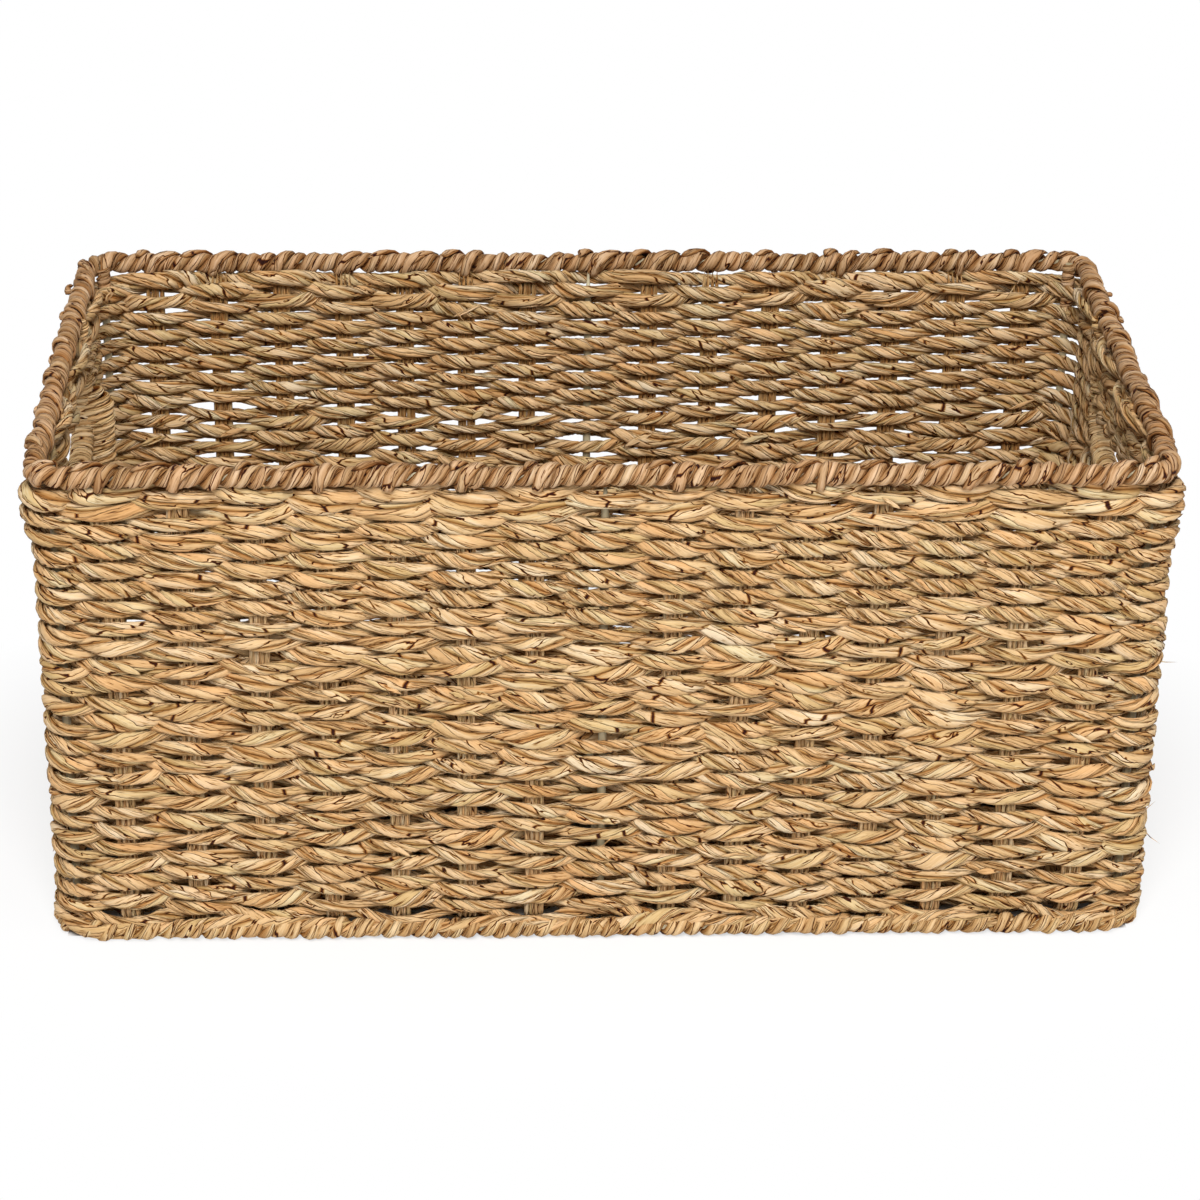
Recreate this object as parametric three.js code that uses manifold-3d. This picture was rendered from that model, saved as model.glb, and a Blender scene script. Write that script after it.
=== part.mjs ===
// Magazine basket: a rectangular, open-topped seagrass basket woven on a steel wire frame.
//
// Two wire rings, joined by upright posts, carry the basket. Flat stakes of seagrass run down the
// front wall, under the base and up the back wall, and others run from end to end. Rows of cord
// weave in and out round the stakes, and each row takes the other side of a stake from the rows
// above and below it. A strand is wound round both rings, and round the bar under each hand hole.
//
// Millimetres. +X runs along the basket's length, the front faces -Y, +Z is up, and the origin is
// on the floor, under the middle of the basket.

import * as THREE from 'three';
import { mergeVertices } from 'three/addons/utils/BufferGeometryUtils.js';
import Module from 'manifold-3d';

// Driving dimensions

const basketLength = 450; // over the wrapped rim
const basketDepth = 239; // over the wrapped rim
const basketHeight = 211.3; // floor to the top of the rim
const clearance = 0.3; // between pieces that touch

const wireRadius = 1.75;
const wireSides = 6;
const ringCornerRadius = 16; // on the centre line of the wire
const ringCornerSteps = 4;

const rimWrapRadius = 4.75;
const borderWrapRadius = 4.5;
const wrapSides = 8;
const wrapBoreSides = 6;

const stakeWidth = 6.4;
const stakeThickness = 3.2;
const stakeBendRadius = 3; // on the middle of the stake, where it turns from the wall to the base
const stakeBendSteps = 3;
const longStakeCountEachSide = 7;
const endStakeCountEachSide = 3;

const rowHeightAimed = 8.2;
const weaverThickness = 4;
const rowSeamStrideCount = 7; // crossings between the cut ends of one row and of the next
const cornerBendDegrees = 18; // a row turns a corner in two bends, this far each side of the post
const settlingPassCount = 12; // of the sum for how far a cord stands off a stake

const rowCountAboveHandHole = 2;
const rowCountBesideHandHole = 5;
const handHoleCornerRadius = 22; // on the centre line of the bar
const handHoleCornerSteps = 8;
const handleWrapRadius = 4.5;
const windingTurnCount = 24; // of the strand round one bar
const windingStepsPerTurn = 8;
const windingGap = 0.95; // between one turn and the next

const baseCordCountInGap = 2;
const baseCordThickness = 3.2;

// Sizes that follow

const ringHalfLength = basketLength / 2 - rimWrapRadius;
const ringHalfDepth = basketDepth / 2 - rimWrapRadius;
const topRingZ = basketHeight - rimWrapRadius;
const bottomRingZ = borderWrapRadius;

// the posts are lapped on the inner side of the rings, and the weave lies in the posts' plane
const wallInset = 2 * wireRadius + clearance;
const wallHalfLength = ringHalfLength - wallInset;
const wallHalfDepth = ringHalfDepth - wallInset;
const wallCornerRadius = ringCornerRadius - wallInset;
const baseZ = bottomRingZ + wallInset;

const borderTopZ = bottomRingZ + borderWrapRadius + clearance;
const wallLowZ = Math.max(borderTopZ, baseZ + stakeBendRadius + clearance);
const wallHighZ = topRingZ - rimWrapRadius - clearance;
const rowCount = Math.round((wallHighZ - wallLowZ) / rowHeightAimed);
const rowPitch = (wallHighZ - wallLowZ) / rowCount;

const longStakePitch = wallHalfLength / (longStakeCountEachSide + 1);
const endStakePitch = 2 * wallHalfDepth / (2 * endStakeCountEachSide + 1);

const legY = 1.5 * endStakePitch; // the bar's legs take the place of the second stakes from the middle
const handHoleTopZ = wallHighZ - rowCountAboveHandHole * rowPitch;
const bandBottomZ = handHoleTopZ - rowCountBesideHandHole * rowPitch;
const handleBarZ = bandBottomZ + clearance + handleWrapRadius;
const handleArcY = legY - handHoleCornerRadius;
const handleArcZ = handleBarZ + handHoleCornerRadius;

const up = new THREE.Vector3(0, 0, 1);
const alongX = new THREE.Vector3(1, 0, 0);
const alongY = new THREE.Vector3(0, 1, 0);

const wasm = await Module();
wasm.setup();

// Sweeping

// A path whose section stands where each station says, so that a cord keeps its width upright.
class StationPath extends THREE.Curve {
  constructor(stations) {
    super();
    this.stations = stations;
  }

  getPoint(t, target = new THREE.Vector3()) {
    const place = t * (this.stations.length - 1);
    const index = Math.min(Math.floor(place), this.stations.length - 2);
    const from = this.stations[index].point;
    return target.lerpVectors(from, this.stations[index + 1].point, place - index);
  }

  getSpacedPoints() {
    return this.stations.map(({ point }) => point);
  }

  computeFrenetFrames() {
    return {
      normals: this.stations.map(({ across }) => across),
      binormals: this.stations.map(({ plane }) => plane),
    };
  }
}

// Stations along points that turn about one direction, mitred at each point.
function mitredStations(points, plane) {
  const heading = (from, to) => {
    const way = to.clone().sub(from);
    return way.addScaledVector(plane, -way.dot(plane)).normalize();
  };
  return points.map((point, index) => {
    const before = heading(points[Math.max(index - 1, 0)], points[Math.max(index, 1)]);
    const last = points.length - 1;
    const after = heading(points[Math.min(index, last - 1)], points[Math.min(index + 1, last)]);
    const middle = before.clone().add(after).normalize();
    const across = plane.clone().cross(middle);
    return { point, plane, across: across.divideScalar(middle.dot(before)) };
  });
}

function sweep(section, points, plane) {
  const stations = mitredStations(points, plane);
  return new THREE.ExtrudeGeometry(section, {
    steps: stations.length - 1,
    extrudePath: new StationPath(stations),
  });
}

function polygonPoints(flatRadius, sides) {
  const cornerRadius = flatRadius / Math.cos(Math.PI / sides);
  return Array.from({ length: sides }, (_, index) => {
    const angle = (index + 0.5) * 2 * Math.PI / sides;
    return new THREE.Vector2(cornerRadius * Math.cos(angle), cornerRadius * Math.sin(angle));
  });
}

const wireSection = new THREE.Shape(polygonPoints(wireRadius * Math.cos(Math.PI / wireSides), wireSides));

function wrapSection(radius) {
  const section = new THREE.Shape(polygonPoints(radius, wrapSides));
  section.holes.push(new THREE.Path(polygonPoints(wireRadius + clearance, wrapBoreSides)));
  return section;
}

function bandSection(across, along) {
  return new THREE.Shape([
    new THREE.Vector2(across / 2, along / 2),
    new THREE.Vector2(-across / 2, along / 2),
    new THREE.Vector2(-across / 2, -along / 2),
    new THREE.Vector2(across / 2, -along / 2),
  ]);
}

// four-sided, with an edge along the top, the bottom and each face of the cord
function cordSection(across, along) {
  return new THREE.Shape([
    new THREE.Vector2(across / 2, 0),
    new THREE.Vector2(0, along / 2),
    new THREE.Vector2(-across / 2, 0),
    new THREE.Vector2(0, -along / 2),
  ]);
}

// Booleans

function toManifold(geometry) {
  const bare = geometry.clone();
  bare.deleteAttribute('normal');
  bare.deleteAttribute('uv');
  const merged = mergeVertices(bare);
  return new wasm.Manifold(new wasm.Mesh({
    numProp: 3,
    vertProperties: merged.attributes.position.array,
    triVerts: merged.index.array,
  }));
}

function fromManifold(solid) {
  const mesh = solid.getMesh();
  const geometry = new THREE.BufferGeometry();
  geometry.setAttribute('position', new THREE.BufferAttribute(mesh.vertProperties, mesh.numProp));
  geometry.setIndex(new THREE.BufferAttribute(mesh.triVerts, 1));
  const flat = geometry.toNonIndexed();
  flat.computeVertexNormals();
  return flat;
}

function cutBy(geometry, cutters) {
  const cut = cutters.reduce((solid, cutter) => solid.subtract(toManifold(cutter)), toManifold(geometry));
  return fromManifold(cut);
}

// Materials

const wirePaint = new THREE.MeshStandardMaterial({ color: 0x9a8f6c, roughness: 0.45, metalness: 0.4 });
const seagrass = new THREE.MeshStandardMaterial({ color: 0xc7a36e, roughness: 0.85, metalness: 0 });
const seagrassStake = new THREE.MeshStandardMaterial({ color: 0x86653f, roughness: 0.9, metalness: 0 });
const seagrassWrap = new THREE.MeshStandardMaterial({ color: 0xb08a5c, roughness: 0.85, metalness: 0 });

const basket = new THREE.Group();

function addPiece(name, geometry, material) {
  const mesh = new THREE.Mesh(geometry, material);
  mesh.name = name;
  basket.add(mesh);
}

// Wire rings and what is wound round them

// A rounded rectangle that starts and ends, a clearance apart, in the back wall.
function ringPoints(z) {
  const seamX = longStakePitch / 2;
  const centres = [
    [-1, 1, Math.PI / 2], [-1, -1, Math.PI], [1, -1, 1.5 * Math.PI], [1, 1, 2 * Math.PI],
  ];
  const corners = centres.flatMap(([sideX, sideY, from]) => (
    Array.from({ length: ringCornerSteps + 1 }, (_, step) => {
      const angle = from + step / ringCornerSteps * Math.PI / 2;
      return new THREE.Vector3(
        sideX * (ringHalfLength - ringCornerRadius) + ringCornerRadius * Math.cos(angle),
        sideY * (ringHalfDepth - ringCornerRadius) + ringCornerRadius * Math.sin(angle),
        z,
      );
    })
  ));
  return [
    new THREE.Vector3(seamX - clearance / 2, ringHalfDepth, z),
    ...corners,
    new THREE.Vector3(seamX + clearance / 2, ringHalfDepth, z),
  ];
}

const cornerPostInset = wallCornerRadius * (1 - Math.SQRT1_2);
const postPlaces = {
  front_left_post: [-(wallHalfLength - cornerPostInset), -(wallHalfDepth - cornerPostInset)],
  front_right_post: [wallHalfLength - cornerPostInset, -(wallHalfDepth - cornerPostInset)],
  back_right_post: [wallHalfLength - cornerPostInset, wallHalfDepth - cornerPostInset],
  back_left_post: [-(wallHalfLength - cornerPostInset), wallHalfDepth - cornerPostInset],
  front_middle_post: [0, -wallHalfDepth],
  back_middle_post: [0, wallHalfDepth],
};

function uprightPoints(x, y, lowZ, highZ) {
  return [new THREE.Vector3(x, y, lowZ), new THREE.Vector3(x, y, highZ)];
}

const postLowZ = bottomRingZ - wireRadius;
const postHighZ = topRingZ + wireRadius;
const socketFlatRadius = wireRadius + clearance;
const socketSection = new THREE.Shape(polygonPoints(socketFlatRadius, wireSides));

function socket(x, y, lowZ, highZ) {
  return sweep(socketSection, uprightPoints(x, y, lowZ - clearance, highZ + clearance), alongX);
}

function addWireFrame() {
  addPiece('top_rim_wire', sweep(wireSection, ringPoints(topRingZ), up), wirePaint);
  addPiece('bottom_rim_wire', sweep(wireSection, ringPoints(bottomRingZ), up), wirePaint);
  for (const [name, [x, y]] of Object.entries(postPlaces)) {
    addPiece(name, sweep(wireSection, uprightPoints(x, y, postLowZ, postHighZ), alongX), wirePaint);
  }
  const reach = wallHalfDepth - wireRadius - clearance;
  const acrossBase = [new THREE.Vector3(0, -reach, baseZ), new THREE.Vector3(0, reach, baseZ)];
  addPiece('base_middle_wire', sweep(wireSection, acrossBase, up), wirePaint);
}

function addRimWraps() {
  const places = Object.values(postPlaces);
  const rimSockets = places.map(([x, y]) => socket(x, y, wallHighZ, postHighZ));
  for (const side of [-1, 1]) {
    for (const leg of [-1, 1]) {
      rimSockets.push(socket(side * wallHalfLength, leg * legY, wallHighZ, postHighZ));
    }
  }
  const borderSockets = places.map(([x, y]) => socket(x, y, postLowZ, borderTopZ));
  const rim = sweep(wrapSection(rimWrapRadius), ringPoints(topRingZ), up);
  addPiece('rim_wrap', cutBy(rim, rimSockets), seagrassWrap);
  const border = sweep(wrapSection(borderWrapRadius), ringPoints(bottomRingZ), up);
  addPiece('border_wrap', cutBy(border, borderSockets), seagrassWrap);
}

// Hand holes

// Down one leg, round the hole's lower corner, along the bar and up the other leg.
function handlePoints(x, topZ) {
  const arc = (side) => Array.from({ length: handHoleCornerSteps + 1 }, (_, step) => {
    const angle = step / handHoleCornerSteps * Math.PI / 2;
    return new THREE.Vector3(
      x,
      side * (handleArcY + handHoleCornerRadius * Math.cos(angle)),
      handleArcZ - handHoleCornerRadius * Math.sin(angle),
    );
  });
  return [
    new THREE.Vector3(x, legY, topZ),
    ...arc(1),
    ...arc(-1).reverse(),
    new THREE.Vector3(x, -legY, topZ),
  ];
}

function addHandles() {
  for (const [end, side] of [['left', -1], ['right', 1]]) {
    const x = side * wallHalfLength;
    addPiece(`${end}_handle_wire`, sweep(wireSection, handlePoints(x, postHighZ), alongX), wirePaint);
    addWinding(`${end}_handle_wrap`, x);
  }
}

// The bar's middle line at a distance from its middle, negative towards +Y, and which way is out.
function handleFrame(x, fromMiddle) {
  const side = fromMiddle < 0 ? 1 : -1;
  const reach = Math.abs(fromMiddle);
  const turn = THREE.MathUtils.clamp((reach - handleArcY) / handHoleCornerRadius, 0, Math.PI / 2);
  const leg = Math.max(reach - handleArcY - handHoleCornerRadius * Math.PI / 2, 0);
  const point = new THREE.Vector3(
    x,
    side * (Math.min(reach, handleArcY) + handHoleCornerRadius * Math.sin(turn)),
    handleArcZ - handHoleCornerRadius * Math.cos(turn) + leg,
  );
  return { point, outward: new THREE.Vector3(0, side * Math.sin(turn), -Math.cos(turn)) };
}

// One strand, flat on the bar, wound from the top of one leg to the top of the other. Each station
// is set by the two edges of the strand, so the turns close up on the inner side of a bend.
function addWinding(name, x) {
  const topZ = handHoleTopZ - clearance;
  const halfLength = handleArcY + handHoleCornerRadius * Math.PI / 2 + topZ - handleArcZ;
  const pitch = 2 * halfLength / windingTurnCount;
  const width = pitch - windingGap;
  const stepCount = Math.floor((2 * halfLength - width) / pitch * windingStepsPerTurn);
  const flatShare = Math.cos(Math.PI / windingStepsPerTurn);
  const innerRadius = wireRadius + clearance;
  const middleRadius = (innerRadius + handleWrapRadius) / 2 / flatShare;
  const thickness = handleWrapRadius - innerRadius;
  const windingStations = Array.from({ length: stepCount + 1 }, (_, step) => {
    const angle = -step / windingStepsPerTurn * 2 * Math.PI;
    const along = width / 2 - halfLength + step / windingStepsPerTurn * pitch;
    const radial = (outward) => (
      outward.clone().multiplyScalar(Math.cos(angle)).addScaledVector(alongX, Math.sin(angle))
    );
    const [before, after] = [-width / 2, width / 2].map((edge) => {
      const { point, outward } = handleFrame(x, along + edge);
      return point.addScaledVector(radial(outward), middleRadius);
    });
    return {
      point: before.clone().add(after).multiplyScalar(0.5),
      across: radial(handleFrame(x, along).outward).divideScalar(flatShare),
      plane: after.clone().sub(before).divideScalar(width),
    };
  });
  const geometry = new THREE.ExtrudeGeometry(bandSection(thickness, width), {
    steps: stepCount,
    extrudePath: new StationPath(windingStations),
  });
  addPiece(name, geometry, seagrassWrap);
  const gap = leastGapBetweenTurns(windingStations, width, thickness);
  console.log(`${name}: least gap to itself ${gap.toFixed(2)} mm`);
}

// Measured between the facing corners of the strand, one turn apart.
function leastGapBetweenTurns(windingStations, width, thickness) {
  const corner = ({ point, across, plane }, edge, side) => (
    point.clone().addScaledVector(plane, edge * width / 2).addScaledVector(across, side * thickness / 2)
  );
  let least = Infinity;
  for (let step = 0; step + windingStepsPerTurn < windingStations.length; step += 1) {
    const next = windingStations[step + windingStepsPerTurn];
    for (const side of [-1, 1]) {
      const distance = corner(windingStations[step], 1, side).distanceTo(corner(next, -1, side));
      least = Math.min(least, distance);
    }
  }
  return least;
}

// The outer side of the wound bar beside the hole, measured from the middle of the end wall, over
// the heights from z down.
function handleOuterY(z) {
  const drop = Math.max(handleArcZ - z, 0);
  const reach = handHoleCornerRadius + handleWrapRadius / Math.cos(Math.PI / windingStepsPerTurn);
  return handleArcY + Math.sqrt(reach * reach - drop * drop);
}

// Weaving

// How far a cord's centre line stands off a stake's, so that its slanting sides clear the stake.
// The cord crosses over to the other side on the way to the next stake, run away, and is there as
// far from the stakes' plane as here, or as far as depthBeyond.
function offsetToClear(cordHalfThickness, run, depthBeyond = null) {
  let offset = stakeThickness / 2 + clearance + cordHalfThickness;
  for (let pass = 0; pass < settlingPassCount; pass += 1) {
    const slant = Math.atan((offset + (depthBeyond ?? offset)) / run);
    const stand = cordHalfThickness + clearance + stakeWidth / 2 * Math.sin(slant);
    offset = stakeThickness / 2 + stand / Math.cos(slant);
  }
  return offset;
}

const weaveOffset = offsetToClear(weaverThickness / 2, longStakePitch);

const cornerSpread = THREE.MathUtils.degToRad(cornerBendDegrees);
const postStandOff = wireRadius + clearance + weaverThickness / 2;
const outsideCornerOffset = (wallCornerRadius + postStandOff) / Math.cos(cornerSpread) - wallCornerRadius;
const insideCornerOffset = -postStandOff;

// The stand-off at the last stake of a wall, from where a cord dives behind the corner post.
function offsetBesideCorner(wallHalf, lastStake) {
  const radius = wallCornerRadius + insideCornerOffset;
  const angle = Math.PI / 4 + cornerSpread;
  const run = wallHalf - wallCornerRadius + radius * Math.cos(angle) - lastStake;
  return offsetToClear(weaverThickness / 2, run, wallCornerRadius - radius * Math.sin(angle));
}

// Every place where a row crosses a stake or a post, counter-clockwise from the front's left end.
function weavingStations() {
  const stations = [];
  const longPlaces = [];
  for (let step = -longStakeCountEachSide; step <= longStakeCountEachSide; step += 1) {
    longPlaces.push(step * longStakePitch);
  }
  const endPlaces = endStakePlaces();
  const wall = (places, wallHalf, place) => {
    const last = places[places.length - 1];
    places.forEach((along) => {
      const outside = Math.abs(along) < last ? weaveOffset : offsetBesideCorner(wallHalf, last);
      stations.push([{ ...place(along), outside, inside: -weaveOffset }]);
    });
  };
  const corner = (sideX, sideY, diagonal) => {
    stations.push([-1, 1].map((turn) => {
      const angle = diagonal + turn * cornerSpread;
      const normal = [Math.cos(angle), Math.sin(angle)];
      return {
        x: sideX * (wallHalfLength - wallCornerRadius) + wallCornerRadius * normal[0],
        y: sideY * (wallHalfDepth - wallCornerRadius) + wallCornerRadius * normal[1],
        normal,
        outside: outsideCornerOffset,
        inside: insideCornerOffset,
      };
    }));
  };
  wall(longPlaces, wallHalfLength, (x) => ({ x, y: -wallHalfDepth, normal: [0, -1] }));
  corner(1, -1, -0.25 * Math.PI);
  wall(endPlaces, wallHalfDepth, (y) => ({ x: wallHalfLength, y, normal: [1, 0] }));
  corner(1, 1, 0.25 * Math.PI);
  wall(longPlaces, wallHalfLength, (x) => ({ x: -x, y: wallHalfDepth, normal: [0, 1] }));
  corner(-1, 1, 0.75 * Math.PI);
  wall(endPlaces, wallHalfDepth, (y) => ({ x: -wallHalfLength, y: -y, normal: [-1, 0] }));
  corner(-1, -1, 1.25 * Math.PI);
  return stations;
}

function endStakePlaces() {
  const places = [];
  for (let step = 0; step < 2 * endStakeCountEachSide; step += 1) {
    places.push((step + 0.5 - endStakeCountEachSide) * endStakePitch);
  }
  return places;
}

const stations = weavingStations();
const weaverSection = cordSection(weaverThickness, rowPitch - clearance);

// The points of one row at one crossing: outside and inside take turns along the row and up the wall.
function crossing(index, row) {
  const station = stations[index % stations.length];
  const outside = (index + row) % 2 === 0;
  const z = wallHighZ - (row + 0.5) * rowPitch;
  return station.map(({ x, y, normal, outside: out, inside }) => {
    const offset = outside ? out : inside;
    return new THREE.Vector3(x + normal[0] * offset, y + normal[1] * offset, z);
  });
}

// One round of cord. Its two ends meet halfway between two stakes.
function roundPoints(row) {
  const start = row * rowSeamStrideCount;
  const points = [];
  for (let step = 0; step < stations.length; step += 1) {
    points.push(...crossing(start + step, row));
  }
  const first = points[0];
  const last = points[points.length - 1];
  const seam = first.clone().add(last).multiplyScalar(0.5);
  const half = first.clone().sub(last).setLength(clearance / 2);
  return [seam.clone().add(half), ...points, seam.clone().sub(half)];
}

// One cord that goes to and fro beside the hand holes, and turns back at the wound bars.
function bandPoints(firstStation, lastStation, side) {
  const points = [];
  for (let run = 0; run < rowCountBesideHandHole; run += 1) {
    const row = rowCountAboveHandHole + run;
    const z = wallHighZ - (row + 0.5) * rowPitch;
    const endY = side * (handleOuterY(z + rowPitch / 2) + clearance + weaverThickness / 2);
    const turn = clearance + weaverThickness / 2;
    const first = stations[firstStation % stations.length][0];
    const last = stations[lastStation % stations.length][0];
    const endPoint = (station, outward) => (
      new THREE.Vector3(station.x + station.normal[0] * outward * turn, endY, z)
    );
    const outward = (firstStation + row) % 2 === 0 ? 1 : -1;
    const line = [endPoint(first, outward)];
    for (let index = firstStation; index <= lastStation; index += 1) {
      line.push(...crossing(index, row));
    }
    line.push(endPoint(last, outward));
    if (run % 2 === 1) {
      line.reverse();
    }
    points.push(...line);
  }
  return points;
}

function addWeavers() {
  const digits = (number) => String(number).padStart(2, '0');
  for (let row = 0; row < rowCount; row += 1) {
    const beside = row >= rowCountAboveHandHole && row < rowCountAboveHandHole + rowCountBesideHandHole;
    if (!beside) {
      addPiece(`weaver_row_${digits(row + 1)}`, sweep(weaverSection, roundPoints(row), up), seagrass);
    }
  }
  const longCount = 2 * longStakeCountEachSide + 1;
  const endCount = 2 * endStakeCountEachSide;
  const frontFirst = stations.length - 2;
  const frontLast = stations.length + longCount + 1;
  const backFirst = longCount + endCount;
  const backLast = backFirst + longCount + 3;
  addPiece('front_band_weaver', sweep(weaverSection, bandPoints(frontFirst, frontLast, -1), up), seagrass);
  addPiece('back_band_weaver', sweep(weaverSection, bandPoints(backFirst, backLast, 1), up), seagrass);
}

// Stakes

const stakeSection = bandSection(stakeThickness, stakeWidth);
const baseOffset = offsetToClear(stakeThickness / 2, longStakePitch);

// From the top of one wall, round the bend, through the base and up the other wall, in a plane.
// place turns a distance from the middle and a height into a point.
function stakePoints(place, wallDistance, topZ, baseHeights) {
  const bend = (side) => Array.from({ length: stakeBendSteps + 1 }, (_, step) => {
    const angle = step / stakeBendSteps * Math.PI / 2;
    const distance = wallDistance - stakeBendRadius + stakeBendRadius * Math.cos(angle);
    return place(side * distance, baseZ + stakeBendRadius - stakeBendRadius * Math.sin(angle));
  });
  return [
    place(-wallDistance, topZ),
    ...bend(-1),
    ...baseHeights.map(([distance, rise]) => place(distance, baseZ + rise)),
    ...bend(1).reverse(),
    place(wallDistance, topZ),
  ];
}

function addCrossStakes() {
  let number = 1;
  for (let step = -longStakeCountEachSide; step <= longStakeCountEachSide; step += 1) {
    if (step !== 0) {
      const place = (distance, z) => new THREE.Vector3(step * longStakePitch, distance, z);
      const points = stakePoints(place, wallHalfDepth, wallHighZ, []);
      const name = `cross_stake_${String(number).padStart(2, '0')}`;
      addPiece(name, sweep(stakeSection, points, alongX), seagrassStake);
      number += 1;
    }
  }
}

// Heights at which a cord that runs along the base passes over and under the cross stakes.
function baseWeave(offset, phase) {
  const heights = [];
  for (let step = -longStakeCountEachSide; step <= longStakeCountEachSide; step += 1) {
    heights.push([step * longStakePitch, (step + phase) % 2 === 0 ? offset : -offset]);
  }
  return heights;
}

function addLengthStakes() {
  endStakePlaces().forEach((y, index) => {
    const place = (distance, z) => new THREE.Vector3(distance, y, z);
    const besideHole = Math.abs(y) > legY + longStakePitch / 2;
    const topZ = besideHole ? wallHighZ : bandBottomZ - clearance;
    const points = stakePoints(place, wallHalfLength, topZ, baseWeave(baseOffset, index));
    addPiece(`length_stake_${index + 1}`, sweep(stakeSection, points, alongY), seagrassStake);
  });
  for (const [end, side] of [['left', -1], ['right', 1]]) {
    for (const [place, y] of [['front', -0.5 * endStakePitch], ['back', 0.5 * endStakePitch]]) {
      const points = uprightPoints(side * wallHalfLength, y, handHoleTopZ, wallHighZ);
      addPiece(`${end}_${place}_short_stake`, sweep(stakeSection, points, alongY), seagrassStake);
    }
  }
}

// Base

const lastStakeX = longStakeCountEachSide * longStakePitch;
const weaveReach = weaveOffset + weaverThickness / 2 / Math.cos(Math.atan(2 * weaveOffset / longStakePitch));
const baseReachY = wallHalfDepth - weaveReach - clearance;
const baseReachX = wallHalfLength - weaveReach - clearance;

// The middle lines of the cords that lie between two stakes of the base, or outside the last stake.
function baseLanes() {
  const edges = endStakePlaces().flatMap((y) => {
    const halfWay = stakeWidth / 2 + clearance;
    return [y - halfWay, y + halfWay];
  });
  const limits = [-baseReachY, ...edges, baseReachY];
  const gaps = [];
  for (let index = 0; index < limits.length; index += 2) {
    const lanePitch = (limits[index + 1] - limits[index]) / baseCordCountInGap;
    const places = Array.from({ length: baseCordCountInGap }, (_, lane) => (
      limits[index] + (lane + 0.5) * lanePitch
    ));
    gaps.push({ lanePitch, places });
  }
  return gaps;
}

// One cord that goes to and fro between the long stakes of the base. It passes over or under the
// end of a stake where it goes on to the next gap, and takes the side that the stake leaves free.
function addBase() {
  const gaps = baseLanes();
  const cordWidth = Math.min(...gaps.map(({ lanePitch }) => lanePitch)) - clearance;
  const cordOffset = offsetToClear(baseCordThickness / 2, longStakePitch);
  const turnX = baseReachX - cordWidth / 2;
  const bendX = wallHalfLength - stakeBendRadius;
  const stakeRise = baseOffset * (bendX - turnX) / (bendX - lastStakeX);
  const stakes = endStakePlaces();
  const points = [];
  gaps.forEach(({ places }, gap) => {
    places.forEach((y, lane) => {
      const order = gap * (baseCordCountInGap + 1) + lane;
      const line = [
        new THREE.Vector3(-turnX, y, baseZ),
        ...baseWeave(cordOffset, order).map(([x, rise]) => new THREE.Vector3(x, y, baseZ + rise)),
        new THREE.Vector3(turnX, y, baseZ),
      ];
      points.push(...(lane % 2 === 0 ? line : line.reverse()));
    });
    if (gap < stakes.length) {
      const [[, lastRise]] = baseWeave(stakeRise, gap);
      points.push(new THREE.Vector3(-turnX, stakes[gap], baseZ - lastRise));
    }
  });
  for (const end of [points[0], points[points.length - 1]]) {
    end.setX(-baseReachX);
  }
  addPiece('base_cord', sweep(cordSection(cordWidth, baseCordThickness), points, up), seagrass);
}

addWireFrame();
addRimWraps();
addHandles();
addWeavers();
addCrossStakes();
addLengthStakes();
addBase();

export default basket;
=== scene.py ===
"""Dresses the magazine basket: twisted cords, stakes, windings, wire frame, floor, light and camera."""

import logging
import math
from dataclasses import dataclass, field
from enum import Enum, IntEnum
from typing import Any

import bmesh
import bpy
import numpy as np
from mathutils import Matrix, Vector


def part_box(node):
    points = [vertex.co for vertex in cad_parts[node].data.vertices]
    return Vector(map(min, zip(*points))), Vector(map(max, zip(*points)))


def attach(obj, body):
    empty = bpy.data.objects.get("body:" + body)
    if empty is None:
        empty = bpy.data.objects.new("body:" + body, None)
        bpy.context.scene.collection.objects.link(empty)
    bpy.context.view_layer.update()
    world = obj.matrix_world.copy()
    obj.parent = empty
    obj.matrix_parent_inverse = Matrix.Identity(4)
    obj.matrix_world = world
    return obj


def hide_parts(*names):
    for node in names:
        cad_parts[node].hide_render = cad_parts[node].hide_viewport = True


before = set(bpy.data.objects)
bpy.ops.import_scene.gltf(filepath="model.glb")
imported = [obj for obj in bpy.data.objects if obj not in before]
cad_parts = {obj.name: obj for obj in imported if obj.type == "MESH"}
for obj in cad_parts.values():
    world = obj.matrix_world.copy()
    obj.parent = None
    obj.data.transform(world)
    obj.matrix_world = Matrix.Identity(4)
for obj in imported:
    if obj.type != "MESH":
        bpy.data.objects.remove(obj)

log = logging.getLogger("magazine_basket")
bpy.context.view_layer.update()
STRAND_MAP = "strand"
TONE = "tone"
# The crease value is 0 on the side that a strand faces and 1 opposite it; the seagrass material paints
# shade from it.
CREASE = "crease"
LOT = "lot"
EAST = np.array([1.0, 0.0, 0.0])
NORTH = np.array([0.0, 1.0, 0.0])
UP = np.array([0.0, 0.0, 1.0])
MILLIMETRE = 0.001
TURN_ANGLES = np.linspace(0.0, math.pi, 8)[1:-1]
Pair = tuple[float, float]
Colour = tuple[float, float, float]


class Seed(IntEnum):
    """The first seed of the variation of each group of strands."""

    ROWS = 1000
    BANDS = 2000
    LOOSE_RUNS = 2500
    CROSS_STAKES = 3000
    LENGTH_STAKES = 3100
    SHORT_STAKES = 3200
    RIM = 4000
    BORDER = 4100
    LEFT_BAR = 4200
    RIGHT_BAR = 4300
    LASHINGS = 4400
    OUTER_BINDERS = 5000
    INNER_BINDERS = 5100
    KNOTS = 5300
    BASE = 6000


def as_vector(values: Any) -> np.ndarray:
    """Return three numbers as an array."""
    return np.array([float(value) for value in values])


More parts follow.
